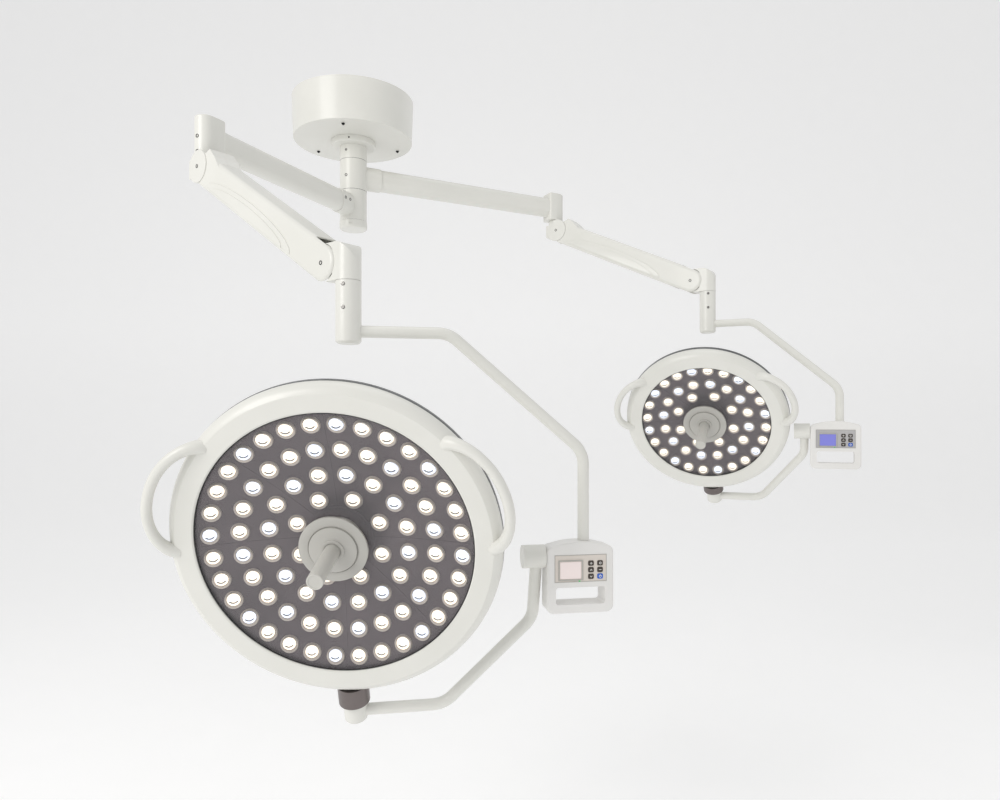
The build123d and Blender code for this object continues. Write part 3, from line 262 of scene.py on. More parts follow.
# %% A grained finish
def grained(name, tone, second, rough, grain=900.0, bump=0.05, mottle=6.0, spread=0.06, **fixed):
    """Two close tones, a rough-and-smooth variation and a fine grain."""
    finish = bpy.data.materials.new(name)
    finish.use_nodes = True
    tree = finish.node_tree
    shader = tree.nodes["Principled BSDF"]
    place = tree.nodes.new("ShaderNodeTexCoord")
    patches = tree.nodes.new("ShaderNodeTexNoise")
    patches.inputs["Scale"].default_value = mottle
    patches.inputs["Detail"].default_value = 4.0
    tones = tree.nodes.new("ShaderNodeValToRGB")
    tones.color_ramp.elements[0].position = 0.35
    tones.color_ramp.elements[1].position = 0.65
    tones.color_ramp.elements[0].color = (*second, 1.0)
    tones.color_ramp.elements[1].color = (*tone, 1.0)
    fine = tree.nodes.new("ShaderNodeTexNoise")
    fine.inputs["Scale"].default_value = grain
    fine.inputs["Detail"].default_value = 2.0
    gloss = tree.nodes.new("ShaderNodeMapRange")
    gloss.inputs["To Min"].default_value = rough - spread
    gloss.inputs["To Max"].default_value = rough + spread
    relief = tree.nodes.new("ShaderNodeBump")
    relief.inputs["Strength"].default_value = bump
    relief.inputs["Distance"].default_value = 0.0004
    tree.links.new(place.outputs["Object"], patches.inputs["Vector"])
    tree.links.new(place.outputs["Object"], fine.inputs["Vector"])
    tree.links.new(patches.outputs["Fac"], tones.inputs["Fac"])
    tree.links.new(tones.outputs["Color"], shader.inputs["Base Color"])
    tree.links.new(fine.outputs["Fac"], gloss.inputs["Value"])
    tree.links.new(gloss.outputs["Result"], shader.inputs["Roughness"])
    tree.links.new(fine.outputs["Fac"], relief.inputs["Height"])
    tree.links.new(relief.outputs["Normal"], shader.inputs["Normal"])
    for socket, value in fixed.items():
        shader.inputs[socket.replace("_", " ")].default_value = value
    return finish


white_paint = grained(
    "white_powder_coat", (0.79, 0.785, 0.74), (0.76, 0.757, 0.71), 0.34, Coat_Weight=0.15
)
control_plastic = grained("control_box_white", (0.83, 0.82, 0.80), (0.80, 0.79, 0.765), 0.38)
boss_grey = grained("boss_warm_grey", (0.50, 0.49, 0.455), (0.46, 0.45, 0.42), 0.36)
handle_grey = grained(
    "handle_light_grey", (0.62, 0.61, 0.57), (0.57, 0.56, 0.52), 0.42, grain=1400.0, bump=0.12
)
panel_beige = grained("panel_film_beige", (0.76, 0.70, 0.64), (0.72, 0.66, 0.60), 0.5)
panel_grey = grained("panel_film_grey", (0.50, 0.49, 0.49), (0.46, 0.45, 0.455), 0.5)
key_dark = grained("key_rubber_dark", (0.055, 0.042, 0.035), (0.04, 0.031, 0.026), 0.55, bump=0.1)
key_blue = grained("key_rubber_blue", (0.02, 0.13, 0.62), (0.016, 0.10, 0.52), 0.5, bump=0.1)
mark_pale = grained("key_mark_pale", (0.78, 0.77, 0.74), (0.72, 0.71, 0.68), 0.6)
dark_edge = grained("dark_edge_trim", (0.018, 0.018, 0.02), (0.013, 0.013, 0.014), 0.45)
screw_black = grained(
    "blackened_screw", (0.03, 0.03, 0.032), (0.018, 0.018, 0.02), 0.4, Metallic=0.8
)
screw_bright = grained(
    "bright_screw", (0.30, 0.29, 0.28), (0.22, 0.215, 0.21), 0.32, Metallic=1.0
)
ground_steel = grained("ground_steel", (0.55, 0.55, 0.56), (0.46, 0.46, 0.47), 0.3, Metallic=1.0)
bronze = grained("bearing_bronze", (0.50, 0.33, 0.14), (0.42, 0.27, 0.11), 0.35, Metallic=1.0)
print("finishes", len(bpy.data.materials))

# %% [markdown]
# ### Brushed collar, dark reflector and clear parts
# The collar under each head is turned metal, so its grain is stretched round it. The reflector is
# a dark mauve tray with a soft sheen. The window is a thin clear sheet, which is a mostly
# transparent surface rather than refracting glass, so that the studio light still reaches what is
# behind it. The lenses are moulded clear plastic that bends light.

# %% Turned metal, reflector, window and lens
collar_metal = grained(
    "collar_dark_metal",
    (0.20, 0.175, 0.17),
    (0.155, 0.135, 0.13),
    0.3,
    grain=300.0,
    Metallic=0.85,
    Anisotropic=0.5,
)
edge_band = grained(
    "edge_band_grey", (0.16, 0.165, 0.17), (0.13, 0.135, 0.14), 0.3, Metallic=0.7
)
reflector_mauve = grained(
    "reflector_mauve_grey",
    (0.088, 0.066, 0.073),
    (0.068, 0.050, 0.056),
    0.34,
    grain=500.0,
    mottle=9.0,
    Metallic=0.35,
)
# The cup's tone is the real pale holder, made paler in part as a painted reflection of the window.
cup_silver_and_reflection = grained("lens_cup_silver", (0.60, 0.53, 0.47), (0.52, 0.46, 0.41), 0.3, Metallic=0.3)
window_clear = grained(
    "window_clear", (0.92, 0.93, 0.95), (0.88, 0.89, 0.92), 0.05, bump=0.0, spread=0.02, Alpha=0.05
)
lens_clear = grained(
    "lens_clear",
    (1.0, 0.99, 0.97),
    (0.97, 0.965, 0.95),
    0.03,
    bump=0.0,
    spread=0.01,
    Transmission_Weight=1.0,
    IOR=1.49,
)


def lit(name, tone, glow, strength):
    """A finish that gives light of its own."""
    finish = grained(name, tone, tone, 0.4)
    shader = finish.node_tree.nodes["Principled BSDF"]
    shader.inputs["Emission Color"].default_value = (*glow, 1.0)
    shader.inputs["Emission Strength"].default_value = strength
    return finish


chip_warm = lit("led_warm", (1.0, 0.90, 0.74), (1.0, 0.93, 0.83), 1.15)
chip_cool = lit("led_cool", (0.82, 0.88, 1.0), (0.80, 0.86, 1.0), 1.1)
screen_pale = lit("screen_pale", (0.80, 0.70, 0.68), (1.0, 0.90, 0.88), 0.16)
screen_violet = lit("screen_violet", (0.12, 0.12, 0.42), (0.32, 0.33, 0.85), 0.35)
signal_green = lit("signal_green", (0.02, 0.25, 0.06), (0.05, 0.6, 0.15), 0.5)

# %% [markdown]
# ## Finishes on the carried-over metalwork
# The record gives every node a material slot. A table turns each slot into one of the finishes,
# and a few nodes take another one where the real part differs from its neighbours.

# %% Dress the frame
FINISH_OF_SLOT = {
    "white_paint": white_paint,
    "bearing_bronze": bronze,
    "dark_screw": screw_black,
    "steel": ground_steel,
    "face_film": panel_beige,
    "display_large": screen_pale,
    "display_small": screen_violet,
    "key_dark": key_dark,
    "key_blue": key_blue,
    "collar_metal": collar_metal,
    "clear_window": window_clear,
    "reflector": reflector_mauve,
    "lens": lens_clear,
    "boss": boss_grey,
    "handle_plastic": handle_grey,
}
FINISH_OF_NODE = {
    "small_control_face": panel_grey,
    "large_control_box": control_plastic,
    "small_control_box": control_plastic,
}
for part in frame["record"]["subparts"]:
    node = nodes[part["node"]]
    finish = FINISH_OF_NODE.get(part["node"], FINISH_OF_SLOT[part["material_slot"]])
    node.data.materials.clear()
    node.data.materials.append(finish)
print("dressed", len(nodes), "nodes")

# %% [markdown]
# ## Studio
# A white sweep stands under and behind the light: a floor that curves up into a wall, so no
# horizon line shows. It is a plane whose far edge is extruded upwards, with a broad bevel in the
# corner, and a faint glow of its own keeps it pale. Large soft area lights, from the left front,
# from above and from the right, shape the white parts in front of it.

# %% Floor that curves up into the backdrop
FLOOR_Z = cad_box[0][2] - 0.55
bpy.ops.object.select_all(action="DESELECT")
bpy.ops.mesh.primitive_plane_add(size=1, location=(0.6, 0.0, FLOOR_Z))
sweep = bpy.context.object
bpy.ops.transform.resize(value=(26.0, 14.0, 1.0))
bpy.ops.object.mode_set(mode="EDIT")
bpy.ops.mesh.select_mode(type="EDGE")
bpy.ops.mesh.select_all(action="DESELECT")
bpy.ops.object.mode_set(mode="OBJECT")
for edge in sweep.data.edges:
    edge.select = all(sweep.data.vertices[v].co.y > 0 for v in edge.vertices)
bpy.ops.object.mode_set(mode="EDIT")
bpy.ops.mesh.extrude_region_move(TRANSFORM_OT_translate={"value": (0, 0, 9.0)})
done()
bpy.ops.object.transform_apply(location=True, rotation=True, scale=True)
round_edges(sweep, 2.5, segments=12)
bpy.ops.object.shade_smooth()
sweep.name = "studio_sweep"
studio_white = grained("studio_white", (0.90, 0.90, 0.90), (0.89, 0.89, 0.89), 0.9)
glow = studio_white.node_tree.nodes["Principled BSDF"].inputs
glow["Emission Color"].default_value = (1.0, 1.0, 1.0, 1.0)
glow["Emission Strength"].default_value = 0.20
sweep.data.materials.append(studio_white)


# %% Soft lights and an even white surround
def soft_light(name, place, aim, size, power, tone=(1.0, 1.0, 1.0)):
    """A square area light that looks at a point."""
    data = bpy.data.lights.new(name, "AREA")
    data.shape = "SQUARE"
    data.size = size
    data.energy = power
    data.color = tone
    light = bpy.data.objects.new(name, data)
    light.matrix_world = facing(place, Vector(place) - Vector(aim))
    bpy.context.scene.collection.objects.link(light)
    return light


soft_light("key_light", (-2.3, -3.3, 0.5), (0.4, -0.6, -1.0), 2.0, 66, (1.0, 0.985, 0.96))
soft_light("top_light", (0.8, -0.6, 2.6), (0.6, -0.3, -0.9), 2.6, 20, (0.98, 0.99, 1.0))
soft_light("side_light", (3.6, -1.6, -0.2), (0.7, -0.4, -0.9), 2.0, 8, (1.0, 0.99, 0.97))
surround = bpy.data.worlds.new("white_surround")
surround.use_nodes = True
surround.node_tree.nodes["Background"].inputs["Color"].default_value = (1.0, 1.0, 1.0, 1.0)
surround.node_tree.nodes["Background"].inputs["Strength"].default_value = 0.58
bpy.context.scene.world = surround
bpy.context.scene.view_settings.view_transform = "Standard"
print("studio floor at", round(FLOOR_Z, 3))

# %% [markdown]
# ## LED optics
# Behind the window each LED sits in a small bright cup under a clear dome. The LEDs stand on a
# shallow dish and all look at one working point in front of the head. In each eighth of the dish,
# ring one carries one LED, ring two carries two, and so on. Some are warm white and some cool.
# One cup, one chip, one dark arc of painted shade and one dome are modelled at the origin and
# stamped on every seat.

# %% Seats on the dish
FOCUS = 0.95
DISH_SEAT = -0.017
RINGS = {"large": (0.0955, 0.150, 0.208, 0.266), "small": (0.098, 0.1455, 0.201)}
COOL_PLACE = {1: None, 2: 0, 3: 2, 4: 0}


def dish_y(lamp, radius):
    """Depth of the dish at a radius from the head's axis."""
    outer = RINGS[lamp][-1]
    return DISH_SEAT + sqrt(FOCUS**2 - radius**2) - sqrt(FOCUS**2 - outer**2)


def led_seats(lamp):
    """Lists of warm and cool LED seats, in the head's frame."""
    focus = Vector((0, dish_y(lamp, 0) - FOCUS, 0))
    warm, cool = [], []
    for count, radius in enumerate(RINGS[lamp], start=1):
        for sector in range(8):
            for place in range(count):
                turn = radians(22.5 + 45 * sector + (place - (count - 1) / 2) * 45 / count)
                seat = Vector((radius * sin(turn), dish_y(lamp, radius), radius * cos(turn)))
                group = cool if place == COOL_PLACE[count] else warm
                group.append(facing(seat, focus - seat))
    return warm, cool


seats = {lamp: led_seats(lamp) for lamp in LAMPS}
for lamp in LAMPS:
    print(lamp, "LEDs", len(seats[lamp][0]), "warm and", len(seats[lamp][1]), "cool")


# %% One cup: a low cone whose top face is inset and sunk
CUP_FOOT_RADIUS = 0.0204
CUP_RIM_RADIUS = 0.0186
CUP_HEIGHT = 0.0046
CUP_LIP = 0.0016
CUP_SINK = 0.0032
CUP_FLOOR_SHARE = 0.62
# The drop moves each cup down behind its dome: a painted reflection of the window's pale oval under each lens.
CUP_REFLECTION_DROP = 0.0026


def led_cup():
    """A bright conical cup with a sunk floor, the real pale holder. Its drop below the dome and part of its
    brightness are painted reflection: the pale oval that the window shows under each lens.
    """
    bpy.ops.object.select_all(action="DESELECT")
    bpy.ops.mesh.primitive_cone_add(
        vertices=20,
        radius1=CUP_FOOT_RADIUS,
        radius2=CUP_RIM_RADIUS,
        depth=CUP_HEIGHT,
        location=(0, 0, CUP_HEIGHT / 2),
    )
    cup = bpy.context.object
    bpy.ops.object.transform_apply()
    select_faces(cup, facing_up)
    bpy.ops.mesh.inset(thickness=CUP_LIP)
    raise_faces(-CUP_SINK)
    bpy.ops.transform.resize(value=(CUP_FLOOR_SHARE, CUP_FLOOR_SHARE, 1.0))
    done()
    return shift(cup, y=-CUP_REFLECTION_DROP)


# %% One chip: a low disc with a bevelled rim
CHIP_RADIUS = 0.0118
CHIP_HEIGHT = 0.0012
CHIP_RISE = 0.0024


def led_chip():
    """The lit disc at the bottom of a cup."""
    bpy.ops.object.select_all(action="DESELECT")
    bpy.ops.mesh.primitive_cylinder_add(
        vertices=16, radius=CHIP_RADIUS, depth=CHIP_HEIGHT, location=(0, 0, CHIP_RISE)
    )
    chip = bpy.context.object
    bpy.ops.object.transform_apply()
    select_faces(chip, facing_up)
    bpy.ops.mesh.inset(thickness=0.0012, depth=0.0004)
    return done()


# %% One crescent: the lower part of a flattened ring
CRESCENT_RADIUS = 0.0078
CRESCENT_LINE = 0.0015
CRESCENT_CUT = -0.0030
CRESCENT_RISE = 0.0038


def led_crescent():
    """A dark arc inside the dome that paints the dark crescent of shade seen in each lit lens."""
    bpy.ops.object.select_all(action="DESELECT")
    bpy.ops.mesh.primitive_torus_add(
        major_segments=20,
        minor_segments=5,
        major_radius=CRESCENT_RADIUS,
        minor_radius=CRESCENT_LINE,
    )
    crescent = bpy.context.object
    bpy.ops.transform.resize(value=(1.0, 0.8, 0.5))
    bpy.ops.object.transform_apply(location=True, rotation=True, scale=True)
    bpy.ops.object.mode_set(mode="EDIT")
    bpy.ops.mesh.select_all(action="SELECT")
    bpy.ops.mesh.bisect(
        plane_co=(0, CRESCENT_CUT, 0), plane_no=(0, 1, 0), use_fill=True, clear_outer=True
    )
    done()
    return shift(crescent, z=CRESCENT_RISE)


# %% One dome: the cap of a sphere, cut off level and closed
LENS_RADIUS = 0.0168
LENS_HEIGHT = 0.0105
LENS_RISE = 0.0036


def led_dome():
    """A clear plano-convex dome with its flat face down."""
    ball = (LENS_RADIUS**2 + LENS_HEIGHT**2) / (2 * LENS_HEIGHT)
    bpy.ops.object.select_all(action="DESELECT")
    bpy.ops.mesh.primitive_uv_sphere_add(
        segments=20, ring_count=16, radius=ball, location=(0, 0, LENS_HEIGHT - ball)
    )
    dome = bpy.context.object
    bpy.ops.object.transform_apply()
    bpy.ops.object.mode_set(mode="EDIT")
    bpy.ops.mesh.select_all(action="SELECT")
    bpy.ops.mesh.bisect(
        plane_co=(0, 0, 0), plane_no=(0, 0, 1), use_fill=True, clear_inner=True
    )
    done()
    return shift(dome, z=LENS_RISE)


# %% Stamp the optics on every seat
cup_master, chip_master, dome_master = led_cup(), led_chip(), led_dome()
crescent_master = led_crescent()
for lamp in LAMPS:
    warm, cool = seats[lamp]
    body = f"{lamp}_lamp"
    cups = stamp(cup_master, warm + cool)
    settle(cups, f"{lamp}_lens_cups", body, cup_silver_and_reflection, head[lamp])
    for tone, group, finish in (("warm", warm, chip_warm), ("cool", cool, chip_cool)):
        chips = stamp(chip_master, group)
        settle(chips, f"{lamp}_{tone}_leds", body, finish, head[lamp])
    # The dark arcs are painted shade: the dark crescent that shows in each lit lens.
    crescents = stamp(crescent_master, warm + cool)
    settle(crescents, f"{lamp}_led_shade_arcs", body, edge_band, head[lamp])
    domes = stamp(dome_master, warm + cool)
    settle(domes, f"{lamp}_lens_domes", body, lens_clear, head[lamp], smooth=60)
    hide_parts(f"{lamp}_lenses")
for master in (cup_master, chip_master, crescent_master, dome_master):
    bpy.data.objects.remove(master)

# %% [markdown]
# ## Seams of the reflector and the trim of the window
# The dish is pressed in eight petals, which meet in fine raised seams. A seam is a thin bar that
# is cut across many times, and each cut is then let down onto the dish. The window's edge shows
# as a thin black ring just inside the bezel.

# %% Eight seams on the dish
SEAM_WIDTH = 0.0018
SEAM_RISE = 0.0007
BOSS_RADIUS = 0.070


def seam_bar(lamp):
    """A thin bar along +Z that follows the dish from the boss to its edge."""
    inner, outer = BOSS_RADIUS - 0.002, RINGS[lamp][-1] + 0.022
    bpy.ops.object.select_all(action="DESELECT")
    bpy.ops.mesh.primitive_cube_add(size=1, location=(0, 0, (inner + outer) / 2))
    seam = bpy.context.object
    bpy.ops.transform.resize(value=(SEAM_WIDTH, SEAM_RISE, outer - inner))
    bpy.ops.object.transform_apply(location=True, rotation=True, scale=True)
    for cut in range(1, 12):
        height = inner + (outer - inner) * cut / 12
        bpy.ops.object.mode_set(mode="EDIT")
        bpy.ops.mesh.select_all(action="SELECT")
        bpy.ops.mesh.bisect(plane_co=(0, 0, height), plane_no=(0, 0, 1))
        done()
    for point in seam.data.vertices:
        point.co.y += dish_y(lamp, point.co.z) - SEAM_RISE / 2
    return seam


for lamp in LAMPS:
    seam = seam_bar(lamp)
    turns = [Matrix.Rotation(radians(45 * step), 4, "Y") for step in range(8)]
    seams = stamp(seam, turns)
    bpy.data.objects.remove(seam)
    settle(seams, f"{lamp}_dish_seams", f"{lamp}_lamp", reflector_mauve, head[lamp])

# %% [markdown]
# ## Edge band
# A dark grey band runs round the head between the white bezel and the white back. It is a low
# open-ended drum: a cylinder's two flat ends are inset and bridged, which leaves only its wall.

# %% Dark band behind the bezel
BAND_FRONT = -0.0105
BAND_DEPTH = 0.0145


def drum(radius, wall, depth, front):
    """A ring-shaped wall about the head's axis, from its front edge to its back edge."""
    bpy.ops.object.select_all(action="DESELECT")
    bpy.ops.mesh.primitive_cylinder_add(vertices=160, radius=radius, depth=depth)
    wall_piece = bpy.context.object
    select_faces(wall_piece, lambda face: abs(face.normal.z) > 0.9)
    bpy.ops.mesh.inset(thickness=wall)
    bpy.ops.mesh.bridge_edge_loops()
    done()
    round_edges(wall_piece, min(wall, depth) * 0.3)
    wall_piece.matrix_world = facing((0, front + depth / 2, 0), (0, -1, 0))
    return wall_piece


for lamp in LAMPS:
    low, high = extents(f"{lamp}_rear_shell", head[lamp])
    band = drum(high.x + 0.0008, 0.004, BAND_DEPTH, BAND_FRONT)
    settle(band, f"{lamp}_edge_band", f"{lamp}_lamp", edge_band, head[lamp])

# %% Black edge of the window
WINDOW_FRONT = -0.0347
BEZEL_OPENING = {"large": 0.292, "small": 0.217}
for lamp in LAMPS:
    bpy.ops.object.select_all(action="DESELECT")
    bpy.ops.mesh.primitive_torus_add(
        major_segments=128,
        minor_segments=8,
        major_radius=BEZEL_OPENING[lamp] - 0.0012,
        minor_radius=0.0014,
        location=(0, WINDOW_FRONT - 0.0006, 0),
        rotation=(radians(90), 0, 0),
    )
    trim = bpy.context.object
    bpy.ops.transform.resize(value=(1.0, 0.7, 1.0))
    settle(trim, f"{lamp}_window_trim", f"{lamp}_lamp", dark_edge, head[lamp])

# %% [markdown]
# ## Side grips
# A bowed grip stands on the rim of the head on each side, a little above the middle. It is a
# round rod that leaves the rim steeply, bows out and comes back. A smooth curve through nine
# points gives the bow, its radius swells at both feet, and it is then turned into a mesh.

# %% Two bowed grips on each head
GRIP_RADIUS = 0.011
GRIP_BOW = 0.031
GRIP_MIDDLE = 21.0
GRIP_SPAN = 21.5
HEAD_RADIUS = {"large": 0.350, "small": 0.275}


def grip_curve(lamp, hand):
    """One smooth bow in the head's frame; hand is -1 for left and +1 for right."""
    rim = HEAD_RADIUS[lamp]
    half_bow = [
        (rim - 0.020, -0.030, GRIP_SPAN, 1.5),
        (rim - 0.006, -0.042, GRIP_SPAN - 0.8, 1.25),
        (rim + 0.55 * GRIP_BOW, -0.056, GRIP_SPAN - 6.0, 1.0),
        (rim + 0.95 * GRIP_BOW, -0.063, 7.0, 1.0),
    ]
    middle = [(rim + GRIP_BOW, -0.064, 0.0, 1.0)]
    other_half = [(reach, y, -turn, swell) for reach, y, turn, swell in reversed(half_bow)]
    knots = half_bow + middle + other_half
    data = bpy.data.curves.new("grip", "CURVE")
    data.dimensions = "3D"
    data.bevel_depth = GRIP_RADIUS
    data.bevel_resolution = 6
    data.use_fill_caps = True
    line = data.splines.new("NURBS")
    line.points.add(len(knots) - 1)
    for point, (reach, y, turn, swell) in zip(line.points, knots):
        angle = radians(GRIP_MIDDLE + turn)
        point.co = (hand * reach * cos(angle), y, reach * sin(angle), 1.0)
        point.radius = swell
    line.order_u = 4
    line.use_endpoint_u = True
    line.resolution_u = 10
    grip = bpy.data.objects.new("grip", data)
    bpy.context.scene.collection.objects.link(grip)
    pick(grip)
    bpy.ops.object.convert(target="MESH")
    return bpy.context.object


for lamp in LAMPS:
    grips = join([grip_curve(lamp, -1), grip_curve(lamp, 1)])
    grips = settle(
        grips, f"{lamp}_side_grips", f"{lamp}_lamp", white_paint, head[lamp]
    )
    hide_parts(f"{lamp}_side_handles")

# %% [markdown]
# ## Centre boss
# The grey boss comes through the window as a drum, spreads into a flange in front of the window,
# has a narrow groove, a raised step and a low collar for the removable handle. All of it grows
# from one cylinder: its front face is extruded, widened, inset and sunk in turn, and the edges
# are rounded.

# %% Stepped boss
BOSS_STEPS = (
    ("widen", 0.0722),
    ("rise", 0.0062),
    ("widen", 0.0520),
    ("rise", -0.0026),
    ("widen", 0.0500),
    ("rise", 0.0062),
    ("widen", 0.0245),
    ("rise", 0.0045),
    ("widen", 0.0172),
    ("rise", -0.0040),
)
DRUM_RADIUS = 0.048


def centre_boss(lamp):
    """A drum on the dish that grows into a flange, a groove, a step and a collar."""
    start = -dish_y(lamp, DRUM_RADIUS) - 0.002
    end = -WINDOW_FRONT + 0.0004
    bpy.ops.object.select_all(action="DESELECT")
    bpy.ops.mesh.primitive_cylinder_add(
        vertices=96, radius=DRUM_RADIUS, depth=end - start, location=(0, 0, (start + end) / 2)
    )
    boss = bpy.context.object
    bpy.ops.object.transform_apply(location=True, rotation=True, scale=True)
    select_faces(boss, facing_up)
    radius = DRUM_RADIUS
    for step, amount in BOSS_STEPS:
        if step == "rise":
            raise_faces(amount)
        else:
            raise_faces(0)
            bpy.ops.transform.resize(value=(amount / radius, amount / radius, 1.0))
            radius = amount
    done()
    round_edges(boss, 0.0007, segments=2, angle=50)
    boss.matrix_world = facing((0, 0, 0), (0, -1, 0))
    return boss


def seat_plate(lamp):
    """A thin dark disc that closes the dish round the drum, with a shallow step near its rim."""
    bpy.ops.object.select_all(action="DESELECT")
    bpy.ops.mesh.primitive_cylinder_add(vertices=96, radius=BOSS_RADIUS + 0.003, depth=0.0016)
    plate = bpy.context.object
    select_faces(plate, facing_up)
    bpy.ops.mesh.inset(thickness=0.006)
    raise_faces(0.0008)
    done()
    plate.matrix_world = facing((0, dish_y(lamp, BOSS_RADIUS) - 0.001, 0), (0, -1, 0))
    return plate


for lamp in LAMPS:
    body = f"{lamp}_lamp"
    plate = seat_plate(lamp)
    settle(plate, f"{lamp}_dish_centre", body, reflector_mauve, head[lamp])
    boss = centre_boss(lamp)
    settle(boss, f"{lamp}_stepped_boss", body, boss_grey, head[lamp])
    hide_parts(f"{lamp}_centre_boss")

# %% [markdown]
# ## Removable handle
# The handle is a plain straight grip with a flat end, which has a shallow dished disc in it. It
# is a cylinder whose end face is inset and sunk, with every edge rounded, and it pulls off with
# its body.

# %% Straight grip with a dished end
HANDLE_RADIUS = 0.0165
for lamp in LAMPS:
    low, high = extents(f"{lamp}_sterile_handle", head[lamp])
    length = high.y - low.y
    bpy.ops.object.select_all(action="DESELECT")
    bpy.ops.mesh.primitive_cylinder_add(
        vertices=64, radius=HANDLE_RADIUS, depth=length, location=(0, 0, length / 2)
    )
    grip = bpy.context.object
    bpy.ops.object.transform_apply(location=True, rotation=True, scale=True)
    select_faces(grip, facing_up)
    bpy.ops.mesh.inset(thickness=0.0034)
    raise_faces(-0.0012)
    bpy.ops.transform.resize(value=(0.94, 0.94, 1.0))
    done()
    round_edges(grip, 0.0010, segments=3)
    grip.matrix_world = facing((0, high.y, 0), (0, -1, 0))
    body = f"{lamp}_handle"
    settle(grip, f"{lamp}_handle_grip", body, handle_grey, head[lamp])
    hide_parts(f"{lamp}_sterile_handle")

# %% [markdown]
# ## Sculpted sides of the spring arms
# Each side of a spring arm carries a long lens-shaped swelling that rises from the lower edge to
# the middle and falls back, with a second line inside the first. A filled circle is squashed to
# the lens, cut in half along its length, and extruded by a few millimetres.

# %% Two stacked swellings on each side of the arm
ARM_LENGTH = 0.612
ARM_HALF_WIDTH = 0.033
SWELLING_BASE = -0.0305
SWELLING_MIDDLE = 0.46 * ARM_LENGTH
SWELLING_SINK = 0.0012
SWELLINGS = ((0.43, 0.040, 0.0034), (0.36, 0.029, 0.0056))
arm = {}
for lamp in LAMPS:
    root = Vector(joints[f"{lamp}_arm_lift"]["pos_m"])
    knuckle = Vector(joints[f"{lamp}_knuckle_level"]["pos_m"])
    along = (knuckle - root).normalized()
    across = -Vector(joints[f"{lamp}_arm_lift"]["axis"]).normalized()
    arm[lamp] = frame_of(along, across, along.cross(across), root)


def swelling(length, height, rise):
    """Half of a squashed disc, standing on its cut edge, facing +Z, with rounded edges."""
    bpy.ops.object.select_all(action="DESELECT")
    bpy.ops.mesh.primitive_circle_add(vertices=96, radius=1, fill_type="NGON")
    lens = bpy.context.object
    bpy.ops.transform.resize(value=(length / 2, height, 1))
    bpy.ops.object.transform_apply(location=True, rotation=True, scale=True)
    bpy.ops.object.mode_set(mode="EDIT")
    bpy.ops.mesh.select_all(action="SELECT")
    bpy.ops.mesh.bisect(plane_co=(0, 0, 0), plane_no=(0, 1, 0), clear_inner=True)
    bpy.ops.mesh.select_all(action="SELECT")
    raise_faces(rise)
    bpy.ops.mesh.select_all(action="SELECT")
    bpy.ops.mesh.normals_make_consistent(inside=False)
    done()
    return round_edges(shift(lens, y=SWELLING_BASE), rise * 0.45, segments=3)


for lamp in LAMPS:
    sides = []
    for side in (-1, 1):
        for length, height, rise in SWELLINGS:
            lens = swelling(length, height, rise)
            out = side * (ARM_HALF_WIDTH - SWELLING_SINK)
            seat = Matrix.Translation((SWELLING_MIDDLE, out, 0))
            if side > 0:
                seat = seat @ Matrix.Rotation(radians(180), 4, "Z")
            lens.matrix_world = seat @ Matrix.Rotation(radians(90), 4, "X")
            sides.append(lens)
    name, body = f"{lamp}_arm_swellings", f"{lamp}_spring_arm"
    settle(join(sides), name, body, white_paint, arm[lamp])

# %% [markdown]
# ## Round barrel inside each knuckle
# The end of the spring arm is open on top, so that the knuckle can swing. A curved web on the
# knuckle stands in that opening. It is the upper part of a drum about the lift pivot, so it turns
# in place, and the lower part is cut away to make room for the levelling link. A narrow slot
# stays open beside it, and at the low limit of the lift its foot meets the link inside the arm.

# %% Curved web on the knuckle
BARREL_RADIUS = 0.0402
BARREL_HALF_WIDTH = 0.0270
BARREL_WALL = 0.004
WEB_FOOT = 0.004


def knuckle_web():
    """The upper part of a drum about the Y axis, with its walls closed."""
    web = drum(BARREL_RADIUS, BARREL_WALL, 2 * BARREL_HALF_WIDTH, -BARREL_HALF_WIDTH)
    pick(web)
    bpy.ops.object.transform_apply(location=True, rotation=True, scale=True)
    bpy.ops.object.mode_set(mode="EDIT")
    bpy.ops.mesh.select_all(action="SELECT")
    bpy.ops.mesh.bisect(
        plane_co=(0, 0, WEB_FOOT), plane_no=(0, 0, 1), use_fill=True, clear_inner=True
    )
    return done()


for lamp in LAMPS:
    place = arm[lamp] @ Matrix.Translation((ARM_LENGTH, 0, 0))
    name, body = f"{lamp}_knuckle_web", f"{lamp}_knuckle_body"
    settle(knuckle_web(), name, body, white_paint, place)

# %% [markdown]
# ## Joint lines of the column
# The two hubs and the end cap turn against each other with a fine dark line between them. A
# narrow dark drum lies in each joint, so the line reads from every side and at every pose.

# %% Dark rings inside the joints
COLUMN_RADIUS = 0.0465
LINE_HEIGHT = 0.0011


def joint_line(z):
    """A narrow ring-shaped wall about the column's axis, just proud of the hubs."""
    piece = drum(COLUMN_RADIUS + 0.0002, 0.003, LINE_HEIGHT, 0.0)
    piece.matrix_world = Matrix.Translation((0, 0, z))
    return piece


hub_levels = sorted(joints[f"{lamp}_elbow_turn"]["pos_m"][2] for lamp in LAMPS)
hub_height = hub_levels[1] - hub_levels[0]
line_levels = (
    hub_levels[1] + hub_height / 2,
    hub_levels[1] - hub_height / 2,
    hub_levels[0] - hub_height / 2,
)
joint_lines = join([joint_line(level) for level in line_levels])
settle(joint_lines, "column_joint_lines", "mount", dark_edge)

# %% [markdown]
# ## Screws
# Small screws hold every casting. A head is a short cylinder whose rim is rounded and whose top
# has a cross or a plain socket sunk into it. One head of each kind is modelled at the origin and
# stamped wherever the castings carry it.

# %% Cross-headed and socket-headed screws
CROSS_RADIUS = 0.0044
CROSS_HEIGHT = 0.0022
CROSS_CUT = (0.0056, 0.0011, 0.0018)
SOCKET_HEAD_RADIUS = 0.0048


